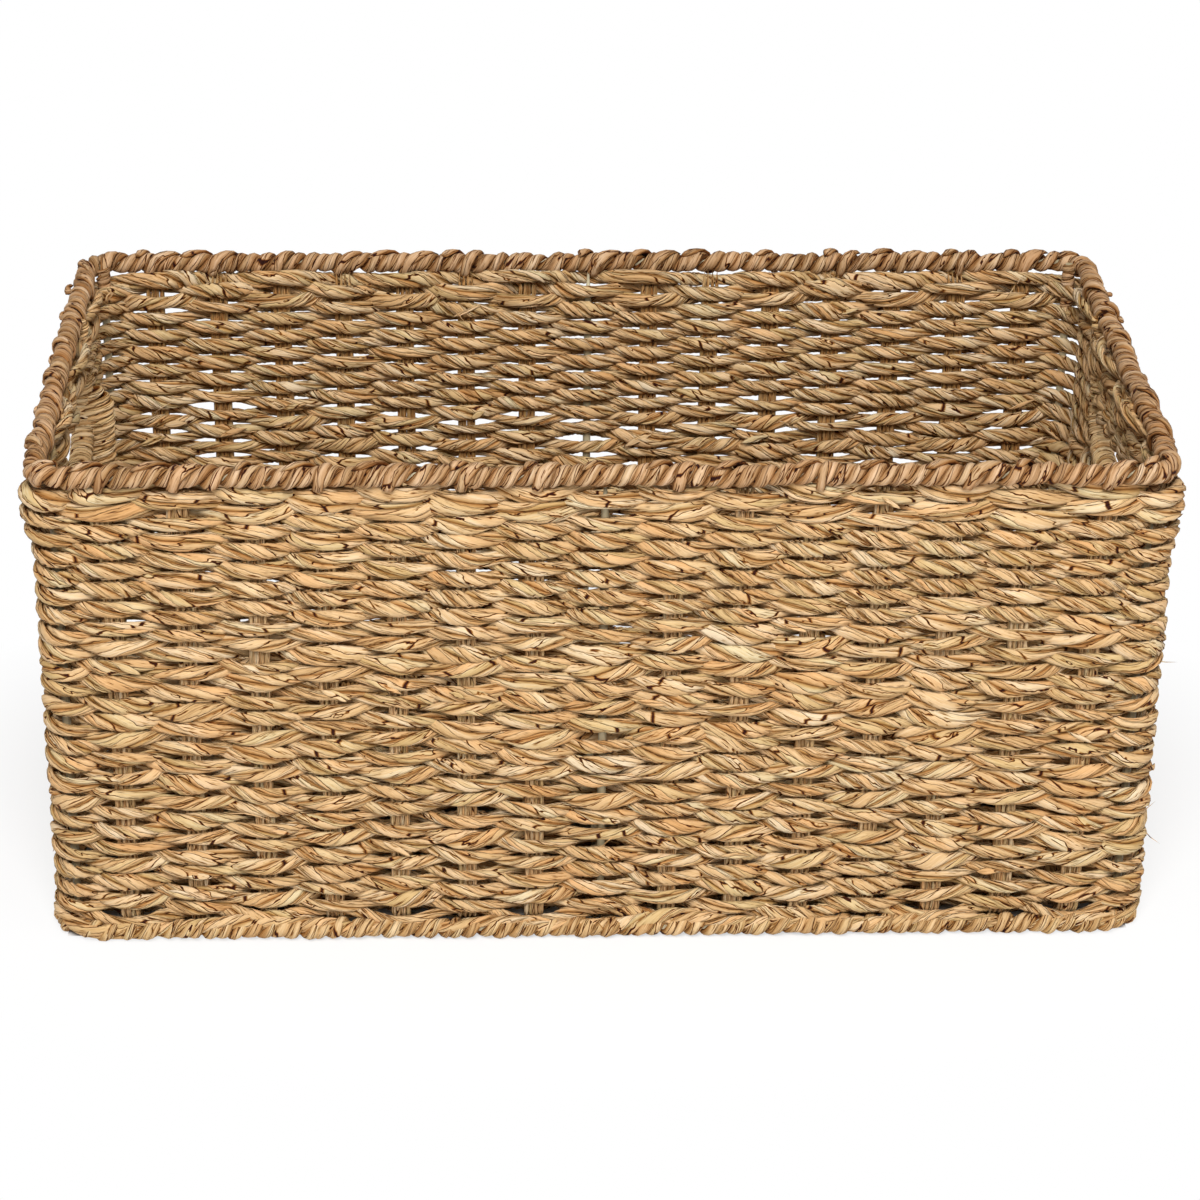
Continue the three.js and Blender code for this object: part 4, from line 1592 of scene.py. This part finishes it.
@dataclass
class Windings(Weaving):
    """The strands wound round the rim, the bottom edge and the bars of the hand holes."""

    steps_per_turn: int = 14
    rim_lead: float = 0.0120
    rim_radius: float = 0.0022
    rim_half_thickness: float = 0.0023
    rim_half_width: float = 0.0026
    rim_corner_radius: float = 0.011
    rim_roughness: float = 0.9
    border_scale: float = 0.94
    border_roughness: float = 1.2
    ring_sides: int = 8
    ring_angle_waves: Pair = (1 / 3, 0.85)
    ring_radius_waves: Pair = (0.9, 0.0005)
    ring_width_waves: Pair = (0.9, 0.2)
    ring_thickness_waves: Pair = (1.3, 0.16)
    ring_tone_waves: Pair = (1.2, 0.28)
    ring_slow_tone: Pair = (11, 0.12)
    bar_lead: float = 0.0030
    bar_radius: float = 0.0038
    bar_half_thickness: float = 0.0013
    bar_half_width: float = 0.0018
    bar_top_gap: float = 0.0003
    bar_step: float = 1.2
    bar_sides: int = 6
    bar_angle_waves: Pair = (12, 0.5)
    bar_radius_waves: Pair = (40, 0.0001)
    bar_tone_waves: Pair = (30, 0.25)
    wire_sides: int = 10
    wire_stride: int = 8
    collar_shift: float = 0.0045
    collar_half_length: float = 0.0078
    collar_half_depth: float = 0.0046
    collar_steps: int = 20
    collar_below: float = 0.009
    collar_above: float = 0.026
    collar_tilt: float = 0.0015
    collar_taper_share: float = 0.72
    collar_taper: float = 0.8
    collar_angle_waves: Pair = (5, 0.3)
    collar_size_waves: Pair = (12, 0.05)
    collar_tone_waves: Pair = (9, 0.25)
    bare_share: float = 0.3
    binder_shift: Pair = (0.0, 0.0015)
    binder_stretch: Pair = (0.9, 0.5)
    binder_reach: Pair = (1.0, 0.05)
    binder_width: Pair = (0.0024, 0.0006)
    binder_tone: Pair = (0.5, 0.25)
    binder_half_thickness: float = 0.0012
    binder_run: tuple[float, ...] = (0.0, 0.0, 0.1, 0.4, 1.0, 1.9, 3.2, 4.9, 6.8, 9.0, 11.5)
    binder_out: tuple[float, ...] = (0.2, 1.6, 3.0, 3.9, 4.4, 4.3, 3.5, 2.2, 0.5, -1.2, -2.4)
    binder_rise: tuple[float, ...] = (-5.0, -4.9, -4.3, -2.9, -0.8, 1.7, 3.4, 4.4, 4.7, 4.2, 3.2)
    binder_width_shares: tuple[float, ...] = (1.0, 1.0, 1.0, 1.0, 1.0, 1.1, 1.15, 1.1, 1.0, 0.8, 0.5)
    knot_shift: Pair = (0.0, 0.006)
    knot_size: Pair = (0.0021, 0.0009)
    knot_half_width: Pair = (0.0015, 0.0004)
    knot_level: Pair = (-0.001, 0.0025)
    knot_stand_off: float = 0.0032
    knot_spread: float = 0.8
    knot_tilt: float = 0.3
    knot_lean: float = 0.6
    tie_tone: Pair = (0.4, 0.3)
    knot_half_thickness: float = 0.0010
    lashing_lead: float = 0.0034
    lashing_radius: float = 0.0023
    lashing_half_thickness: float = 0.0007
    lashing_half_width: float = 0.0019
    lashing_length: float = 0.014
    lashing_waves: Pair = (5, 0.4)

    def __post_init__(self) -> None:
        """Lay out the lines of the rings and of the walls."""
        self.ring = self.layout.ring_line(self.layout.ring_corner_radius)
        self.wall = self.layout.wall_line()

    def beside(self, place: float) -> float:
        """Return the place on the ring beside a place on the wall's line."""
        return place * self.ring.length / self.wall.length

    def wound_round(self, line: np.ndarray, outward: np.ndarray, travel: np.ndarray,
                    angles: np.ndarray, radius: np.ndarray, closed: bool) -> StrandPath:
        """Wind a strand round a line.

        Args:
            line: points of the line that it is wound round.
            outward: the way from which the angles count.
            travel: the line's direction.
            angles: the strand's angle at each point.
            radius: its distance from the line at each point.
            closed: whether the line ends where it starts.

        Returns:
            The strand's path.
        """
        side = np.cross(travel, outward)
        way = outward * np.cos(angles)[:, None] + side * np.sin(angles)[:, None]
        return StrandPath(line + way * radius[:, None], way, closed)

    def add_ring(self, bundle: StrandBundle, z: float, corner_radius: float, seed: int, size: float,
                 roughness: float) -> None:
        """Wind two strands side by side round one of the two rings.

        Args:
            bundle: where they go.
            z: the ring's height.
            corner_radius: the radius of its corners.
            seed: the seed of their variation.
            size: the size of the strands beside those of the rim.
            roughness: how uneven the turns are.
        """
        line = self.layout.ring_line(corner_radius)
        turns = round(line.length / (self.rim_lead * size))
        count = turns * self.steps_per_turn
        shares = np.linspace(0.0, 1.0, count + 1)
        points, outward = line.locate(shares * line.length)
        points[:, 2] = z
        travel = np.cross(UP, outward)
        for strand in range(2):
            drift = Drift(seed + strand)
            table = [
                drift.wander(shares, turns * waves, reach * roughness)
                for waves, reach in (self.ring_angle_waves, self.ring_radius_waves,
                                     self.ring_width_waves, self.ring_thickness_waves)
            ]
            angles = -2 * math.pi * turns * shares - strand * math.pi + table[0]
            radius = size * (self.rim_radius + table[1])
            path = self.wound_round(points, outward, travel, angles, radius, True)
            path.points[-1] = path.points[0]
            waves, reach = self.ring_tone_waves
            tone = 0.5 + drift.wander(shares, turns * waves, reach)
            tone = np.clip(tone + drift.wander(shares, *self.ring_slow_tone), 0.0, 1.0)
            width = size * self.rim_half_width * (1 + table[2])
            bundle.add_flat(path, size * self.rim_half_thickness * (1 + table[3]), width, tone)

    def bar_line(self, step: float) -> tuple[np.ndarray, np.ndarray, np.ndarray]:
        """Trace the bar of a hand hole, down one leg, along the bar and up the other leg.

        Args:
            step: the distance between points.

        Returns:
            Rows of y and z, of the way out of the hole, and of the direction of travel.
        """
        layout = self.layout
        radius = layout.hole_corner_radius
        arc_y = layout.leg_y - radius
        arc_z = layout.bar_z + radius
        leg = layout.hole_top_z - self.bar_top_gap - arc_z
        bend = radius * math.pi / 2
        half = arc_y + bend + leg
        places = np.linspace(-half, half, int(2 * half / step) + 1)
        side = np.where(places < 0, 1.0, -1.0)
        reach = np.abs(places)
        turn = np.clip((reach - arc_y) / radius, 0.0, math.pi / 2)
        up = np.clip(reach - arc_y - bend, 0.0, None)
        y = side * (np.minimum(reach, arc_y) + radius * np.sin(turn))
        z = arc_z - radius * np.cos(turn) + up
        out = np.stack([side * np.sin(turn), -np.cos(turn)], axis=1)
        travel = np.stack([-np.cos(turn), -side * np.sin(turn)], axis=1)
        return np.stack([y, z], axis=1), out, travel

    def build_bar(self, end: str, side: float, seed: int) -> None:
        """Wind one bar.

        Args:
            end: left or right.
            side: -1 or 1.
            seed: the seed of its variation.
        """
        layout = self.layout
        flat, out, travel = self.bar_line(self.bar_lead / self.steps_per_turn * self.bar_step)
        count = len(flat)
        x = np.full(count, side * layout.wall_half_length)
        line = np.column_stack([x, flat])
        outward = np.column_stack([np.zeros(count), out])
        heading = np.column_stack([np.zeros(count), travel])
        shares = np.linspace(0.0, 1.0, count)
        total = float(np.sum(np.linalg.norm(np.diff(line, axis=0), axis=1)))
        drift = Drift(seed)
        angles = 2 * math.pi * total / self.bar_lead * shares
        angles = angles + drift.wander(shares, *self.bar_angle_waves)
        radius = self.bar_radius + drift.wander(shares, *self.bar_radius_waves)
        path = self.wound_round(line, outward, heading, angles, radius, False)
        tone = np.clip(0.5 + drift.wander(shares, *self.bar_tone_waves), 0.0, 1.0)
        name = f"{end}_handle_wrap"
        bundle = StrandBundle(f"strand_{name}", self.bar_sides, self.settle)
        bundle.add_flat(path, self.bar_half_thickness, self.bar_half_width, tone)
        for leg in (-layout.leg_y, layout.leg_y):
            self.add_lashing(bundle, x[0], leg, layout.hole_top_z, layout.top_ring_z, seed + 1)
            if side < 0:
                self.add_collar(bundle, x[0] + self.collar_shift, leg, seed + 2)
        dress(bundle.finish(), self.finishes.bar, "wound_strand", name)
        first = np.array([[x[0], flat[0, 0], layout.top_ring_z]])
        last = np.array([[x[0], flat[-1, 0], layout.top_ring_z]])
        stride = self.wire_stride
        route = np.concatenate([first, line[::stride], line[-1:], last])
        facing = np.concatenate([outward[:1], outward[::stride], outward[-1:], outward[-1:]])
        wire = StrandBundle(f"round_{end}_handle_wire", self.wire_sides, self.settle)
        wire.add_flat(StrandPath(route, facing), layout.wire_radius, layout.wire_radius, 0.5)
        dress(wire.finish(), self.finishes.wire, "frame_wire", f"{end}_handle_wire")

    def add_collar(self, bundle: StrandBundle, x: float, y: float, seed: int) -> None:
        """Wind a strand round a leg of the bar together with the turns of cord beside it.

        Args:
            bundle: where it goes.
            x: the middle of the winding.
            y: the same.
            seed: the seed of its variation.
        """
        drift = Drift(seed)
        low = self.layout.bar_z - self.collar_below
        high = self.layout.bar_z + self.collar_above
        count = int((high - low) / self.bar_lead * self.collar_steps)
        shares = np.linspace(0.0, 1.0, count)
        angles = 2 * math.pi * (high - low) / self.bar_lead * shares
        angles = angles + drift.wander(shares, *self.collar_angle_waves)
        size = 1.0 + drift.wander(shares, *self.collar_size_waves)
        taper = np.clip((shares - self.collar_taper_share) / (1.0 - self.collar_taper_share), 0.0, 1.0)
        size = size * (1.0 - self.collar_taper * taper ** 2)
        points = np.column_stack([
            x + self.collar_half_length * size * np.cos(angles),
            y + self.collar_half_depth * size * np.sin(angles),
            low + (high - low) * shares + self.collar_tilt * np.cos(angles),
        ])
        facing = np.column_stack([np.cos(angles), np.sin(angles), 0 * angles])
        tone = np.clip(0.5 + drift.wander(shares, *self.collar_tone_waves), 0.0, 1.0)
        bundle.add_flat(StrandPath(points, facing), self.bar_half_thickness, self.bar_half_width, tone)

    def add_binders(self, bundle: StrandBundle, places: np.ndarray, side: float) -> None:
        """Add the ends of the stakes, which come up beside the rim and arch along its top.

        Args:
            bundle: where they go.
            places: where the stakes are, along the wall's line, from the middle of the front.
            side: 1 for the ends outside the rim and -1 for those inside it.
        """
        run, out, rise = np.array([self.binder_run, self.binder_out, self.binder_rise]) * MILLIMETRE
        for index, place in enumerate(places):
            drift = Drift((Seed.OUTER_BINDERS if side > 0 else Seed.INNER_BINDERS) + index)
            start = self.beside(place) + drift.about(*self.binder_shift)
            stretch = drift.about(*self.binder_stretch)
            reach = drift.about(*self.binder_reach)
            width = drift.about(*self.binder_width)
            tone = drift.about(*self.binder_tone)
            if drift.about(0.5, 0.5) < self.bare_share:
                continue
            points, outward = self.ring.locate(start + side * run * stretch)
            points = points + outward * (side * out * reach)[:, None]
            points[:, 2] = self.layout.top_ring_z + rise * reach
            facing = outward * (side * out)[:, None]
            facing[:, 2] = rise
            facing[:3] = outward[:3] * side
            widths = width * np.array(self.binder_width_shares)
            bundle.add_flat(StrandPath(points, facing), self.binder_half_thickness, widths, tone)

    def add_knots(self, bundle: StrandBundle, places: np.ndarray) -> None:
        """Add the small loops outside the rim of the two end walls.

        Args:
            bundle: where they go.
            places: where they are, along the wall's line.
        """
        turn = np.linspace(0.0, math.pi, 8)
        for index, place in enumerate(places):
            drift = Drift(Seed.KNOTS + index)
            start = self.beside(place) + drift.about(*self.knot_shift)
            size = drift.about(*self.knot_size)
            points, outward = self.ring.locate(start - self.knot_spread * size * np.cos(turn))
            points = points + outward * (self.knot_stand_off + size * np.sin(turn))[:, None]
            level = self.layout.top_ring_z + drift.about(*self.knot_level)
            points[:, 2] = level + self.knot_tilt * size * np.cos(turn)
            facing = outward * np.sin(turn)[:, None]
            facing[:, 2] = self.knot_lean
            half_width = drift.about(*self.knot_half_width)
            bundle.add_flat(StrandPath(points, facing), self.knot_half_thickness, half_width,
                            drift.about(*self.tie_tone))

    def add_lashing(self, bundle: StrandBundle, x: float, y: float, low: float, high: float,
                    seed: int) -> None:
        """Wind a strand round the upper end of a post or of a leg of a hand hole's bar.

        Args:
            bundle: where it goes.
            x: the wire's place.
            y: the same.
            low: the lower end of the winding.
            high: its upper end.
            seed: the seed of its variation.
        """
        drift = Drift(seed)
        count = max(8, int((high - low) / self.lashing_lead * self.steps_per_turn))
        shares = np.linspace(0.0, 1.0, count)
        angles = 2 * math.pi * (high - low) / self.lashing_lead * shares + drift.about(0.0, math.pi)
        angles = angles + drift.wander(shares, *self.lashing_waves)
        way = np.stack([np.cos(angles), np.sin(angles), 0 * angles], axis=1)
        points = np.array([x, y, 0.0]) + way * self.lashing_radius
        points[:, 2] = low + (high - low) * shares
        bundle.add_flat(StrandPath(points, way), self.lashing_half_thickness, self.lashing_half_width,
                        drift.about(*self.tie_tone))

    def build(self, places: np.ndarray) -> None:
        """Build the windings and dress them.

        Args:
            places: where the stakes are, along the wall's line.
        """
        layout = self.layout
        rim = StrandBundle("strand_rim_wrap", self.ring_sides)
        self.add_ring(rim, layout.top_ring_z, self.rim_corner_radius, Seed.RIM, 1.0,
                      self.rim_roughness)
        self.add_binders(rim, places, 1.0)
        self.add_binders(rim, places, -1.0)
        ends = [find(y) for find in (self.wall.left, self.wall.right) for y in layout.end_stake_y]
        self.add_knots(rim, np.array(ends))
        for number, name in enumerate(("front_left", "front_right", "back_left", "back_right")):
            x, y, _ = node_middle(f"{name}_post")
            top = corners(f"{name}_post")[1][2]
            low = layout.weave_top_z - self.lashing_length
            self.add_lashing(rim, x, y, low, top, Seed.LASHINGS + number)
        dress(rim.finish(), self.finishes.rim, "wound_strand", "rim_wrap")
        border = StrandBundle("strand_border_wrap", self.ring_sides)
        self.add_ring(border, layout.bottom_ring_z, layout.ring_corner_radius, Seed.BORDER,
                      self.border_scale, self.border_roughness)
        dress(border.finish(), self.finishes.border, "wound_strand", "border_wrap")
        self.build_bar("left", -1.0, Seed.LEFT_BAR)
        self.build_bar("right", 1.0, Seed.RIGHT_BAR)


# Base


@dataclass
class WovenBase(Weaving):
    """The cord that fills the base, to and fro between the long stakes."""

    cord: TwistedCord = field(default_factory=lambda: TwistedCord(lay=0.026))
    sides: int = 7
    lanes_in_gap: int = 4
    ply_tone: Pair = (0.5, 0.28)
    cord_thickness: float = 0.0036
    rise: float = 0.0033
    edge_gap: float = 0.003
    step: float = 0.0035
    half_stake: float = 0.0036
    fullness: float = 1.22
    pinch: float = 0.03
    side_waves: Pair = (12, 0.0003)

    def lanes(self) -> list[Pair]:
        """Find the lanes between the long stakes.

        Returns:
            For each lane its y and its width.
        """
        reach = self.layout.wall_half_depth - self.edge_gap
        limits = [-reach]
        for y in sorted(self.layout.end_stake_y):
            limits += [y - self.half_stake, y + self.half_stake]
        limits.append(reach)
        lanes = []
        for low, high in zip(limits[0::2], limits[1::2]):
            pitch = (high - low) / self.lanes_in_gap
            lanes += [(low + (lane + 0.5) * pitch, pitch) for lane in range(self.lanes_in_gap)]
        return lanes

    def build(self) -> None:
        """Build the base's cord and dress it."""
        layout = self.layout
        crossings = np.array(layout.crossings())
        reach = layout.wall_half_length - self.edge_gap
        known = np.concatenate([[-reach], crossings, [reach]])
        count = int(2 * reach / self.step) + 1
        x = np.linspace(-reach, reach, count)
        shares = np.linspace(0.0, 1.0, count)
        near = np.cos(2 * math.pi * between(x, known)[1])
        facing = np.tile(-UP, (count, 1))
        thickness = np.full(count, self.cord_thickness)
        bundle = StrandBundle("cord_base", self.sides, self.settle)
        for number, (y, pitch) in enumerate(self.lanes()):
            drift = Drift(Seed.BASE + number)
            sides = np.where((np.arange(len(crossings)) + number) % 2 == 0, 1.0, -1.0)
            values = np.concatenate([[0.0], sides * self.rise, [0.0]])
            z = layout.base_z + eased(x, known, values)
            line_y = y + drift.wander(shares, *self.side_waves)
            path = StrandPath(np.column_stack([x, line_y, z]), facing)
            height = pitch * self.fullness * (1.0 - self.pinch + self.pinch * near)
            tones = (drift.about(*self.ply_tone), drift.about(*self.ply_tone))
            self.cord.add_to(bundle, path, thickness, height, drift, tones)
        dress(bundle.finish(), self.finishes.weave, "woven_cord", "base_cord")


# Frame


@dataclass
class WireFrame:
    """The welded wire frame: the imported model's own wires, and finer ones where they show."""

    layout: Layout
    finishes: Finishes
    post_points: int = 12
    post_sides: int = 14

    def build(self) -> None:
        """Paint the model's wires and make the two bare middle posts round.

        The wires of the hand holes are made with their windings.
        """
        bare = {"front_middle_post": -1.0, "back_middle_post": 1.0}
        redrawn = (*bare, "left_handle_wire", "right_handle_wire")
        for name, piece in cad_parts.items():
            if piece.name.endswith(("_wire", "_post")) and name not in redrawn:
                piece.data.materials.clear()
                piece.data.materials.append(self.finishes.wire)
        for name, side in bare.items():
            low, high = corners(name)
            bundle = StrandBundle(f"round_{name}", self.post_sides)
            points = np.tile(side * self.layout.wall_half_depth * NORTH, (self.post_points, 1))
            points[:, 2] = np.linspace(high[2], low[2], self.post_points)
            path = StrandPath(points, np.tile(side * NORTH, (self.post_points, 1)))
            bundle.add_flat(path, self.layout.wire_radius, self.layout.wire_radius, 0.5)
            dress(bundle.finish(), self.finishes.wire, "frame_wire", name)


# Studio


@dataclass(frozen=True)
class Lamp:
    """A round, soft lamp that points at the basket."""

    name: str
    place: tuple[float, float, float]
    size: float
    power: float
    target: tuple[float, float, float] = (0.0, 0.0, 0.1)

    def build(self) -> None:
        """Put the lamp in the scene."""
        data = bpy.data.lights.new(self.name, "AREA")
        data.shape = "DISK"
        data.size = self.size
        data.energy = self.power
        aim = Vector(self.target) - Vector(self.place)
        turn = aim.to_track_quat("-Z", "Y").to_matrix().to_4x4()
        lamp = put_in_scene(self.name, data)
        lamp.matrix_world = Matrix.Translation(Vector(self.place)) @ turn


@dataclass(frozen=True)
class Studio:
    """The pale floor, the soft light and the camera at the photograph's angle."""

    position: tuple[float, float, float] = (-0.049, -1.334, 0.7575)
    focal_pixels: float = 3487.0
    frame_pixels: float = 1200.0
    elevation: float = 26.34
    azimuth: float = 2.22
    roll: float = 0.72
    world_strength: float = 0.34
    key_power: float = 61.5
    fill_share: float = 0.08
    floor_half_size: float = 6.0
    floor_grey: float = 0.86
    shadow_stretch: float = 2.5
    shadow_reach: float = 0.2
    shadow_fade: float = 2.5
    near_share: float = 0.6
    under_half_length: float = 0.2175
    under_half_depth: float = 0.112
    white: tuple[float, float, float, float] = (1.0, 1.0, 1.0, 1.0)

    def build_camera(self) -> None:
        """Place the camera."""
        down = math.radians(self.elevation)
        turn = math.radians(self.azimuth)
        tilt = math.radians(self.roll)
        ahead = math.cos(down)
        forward = Vector((math.sin(turn) * ahead, math.cos(turn) * ahead, -math.sin(down)))
        right = Vector((math.cos(turn), -math.sin(turn), 0.0))
        above = right.cross(forward)
        rolled = right * math.cos(tilt) + above * math.sin(tilt)
        lifted = rolled.cross(forward)
        data = bpy.data.cameras.new("photo_camera")
        data.sensor_width = 36.0
        data.lens = self.focal_pixels / self.frame_pixels * data.sensor_width
        data.clip_start = 0.05
        camera = put_in_scene("photo_camera", data)
        matrix = Matrix((rolled, lifted, -forward)).transposed().to_4x4()
        matrix.translation = Vector(self.position)
        camera.matrix_world = matrix
        bpy.context.scene.camera = camera

    def build_light(self) -> None:
        """Place a soft key lamp, a fill lamp and the plain world."""
        Lamp("key", (-0.1, -1.6, 1.9), 1.2, self.key_power).build()
        Lamp("fill", (1.4, -0.9, 1.2), 1.4, self.key_power * self.fill_share).build()
        world = bpy.data.worlds.new("studio")
        bpy.context.scene.world = world
        nodes = NodeMaker(world)
        plain = nodes.make("ShaderNodeBackground", {}, {0: self.white, 1: self.world_strength})
        white = nodes.make("ShaderNodeBackground", {}, {0: self.white, 1: 1.0})
        rays = nodes.make("ShaderNodeLightPath", {}, {})
        seen = Channel(nodes, rays.outputs["Is Camera Ray"])
        seen = seen.at_least(rays.outputs["Is Glossy Ray"])
        seen = seen.at_least(rays.outputs["Is Transmission Ray"])
        inputs = {0: seen, 1: plain.outputs[0], 2: white.outputs[0]}
        mixed = nodes.make("ShaderNodeMixShader", {}, inputs)
        nodes.make("ShaderNodeOutputWorld", {}, {0: mixed.outputs[0]})

    def build_floor(self) -> None:
        """Lay the pale floor, which shows almost white and keeps the basket's shadow."""
        sheet = bmesh.new()
        bmesh.ops.create_grid(sheet, x_segments=1, y_segments=1, size=self.floor_half_size)
        mesh = bpy.data.meshes.new("studio_floor")
        sheet.to_mesh(mesh)
        sheet.free()
        floor = put_in_scene("studio_floor", mesh)
        material = bpy.data.materials.new("studio_floor")
        nodes = NodeMaker(material)
        paper = nodes.make("ShaderNodeBsdfDiffuse", {}, {0: (*[self.floor_grey] * 3, 1.0)})
        glow = nodes.make("ShaderNodeEmission", {}, {0: self.white, 1: 1.0})
        rays = nodes.make("ShaderNodeLightPath", {}, {})
        seen = Channel(nodes, rays.outputs["Is Camera Ray"])
        place = nodes.make("ShaderNodeTexCoord", {}, {})
        parts = nodes.make("ShaderNodeSeparateXYZ", {}, {0: place.outputs["Object"]})
        x, y = Channel(nodes, parts.outputs[0]), Channel(nodes, parts.outputs[1])
        far = (x * x + y * y * self.shadow_stretch) ** 0.5 - self.shadow_reach
        share = (far * self.shadow_fade).at_least(0.0).at_most(1.0 - self.near_share) + self.near_share
        clear = x.beyond(self.under_half_length).at_least(y.beyond(self.under_half_depth))
        inputs = {0: seen * (share * clear), 1: paper.outputs[0], 2: glow.outputs[0]}
        mixed = nodes.make("ShaderNodeMixShader", {}, inputs)
        nodes.make("ShaderNodeOutputMaterial", {}, {0: mixed.outputs[0]})
        floor.data.materials.append(material)

    def build(self) -> None:
        """Build the camera, the light and the floor."""
        self.build_camera()
        self.build_light()
        self.build_floor()
        bpy.context.scene.view_settings.view_transform = "Standard"
        log.info("studio built")


def main() -> None:
    """Build the whole scene in order."""
    logging.basicConfig(level=logging.INFO, format="%(message)s")
    layout = Layout.from_frame()
    Studio().build()
    finishes = Finishes()
    WireFrame(layout, finishes).build()
    settle = Settle(layout)
    Stakes(layout, finishes, settle).build()
    walls = WovenWalls(layout, finishes, settle)
    walls.build()
    WovenBase(layout, finishes, settle).build()
    Windings(layout, finishes, settle).build(walls.crossings)
    for mesh in StrandBundle.grids.values():
        bpy.data.meshes.remove(mesh)


if __name__ == "__main__":
    main()
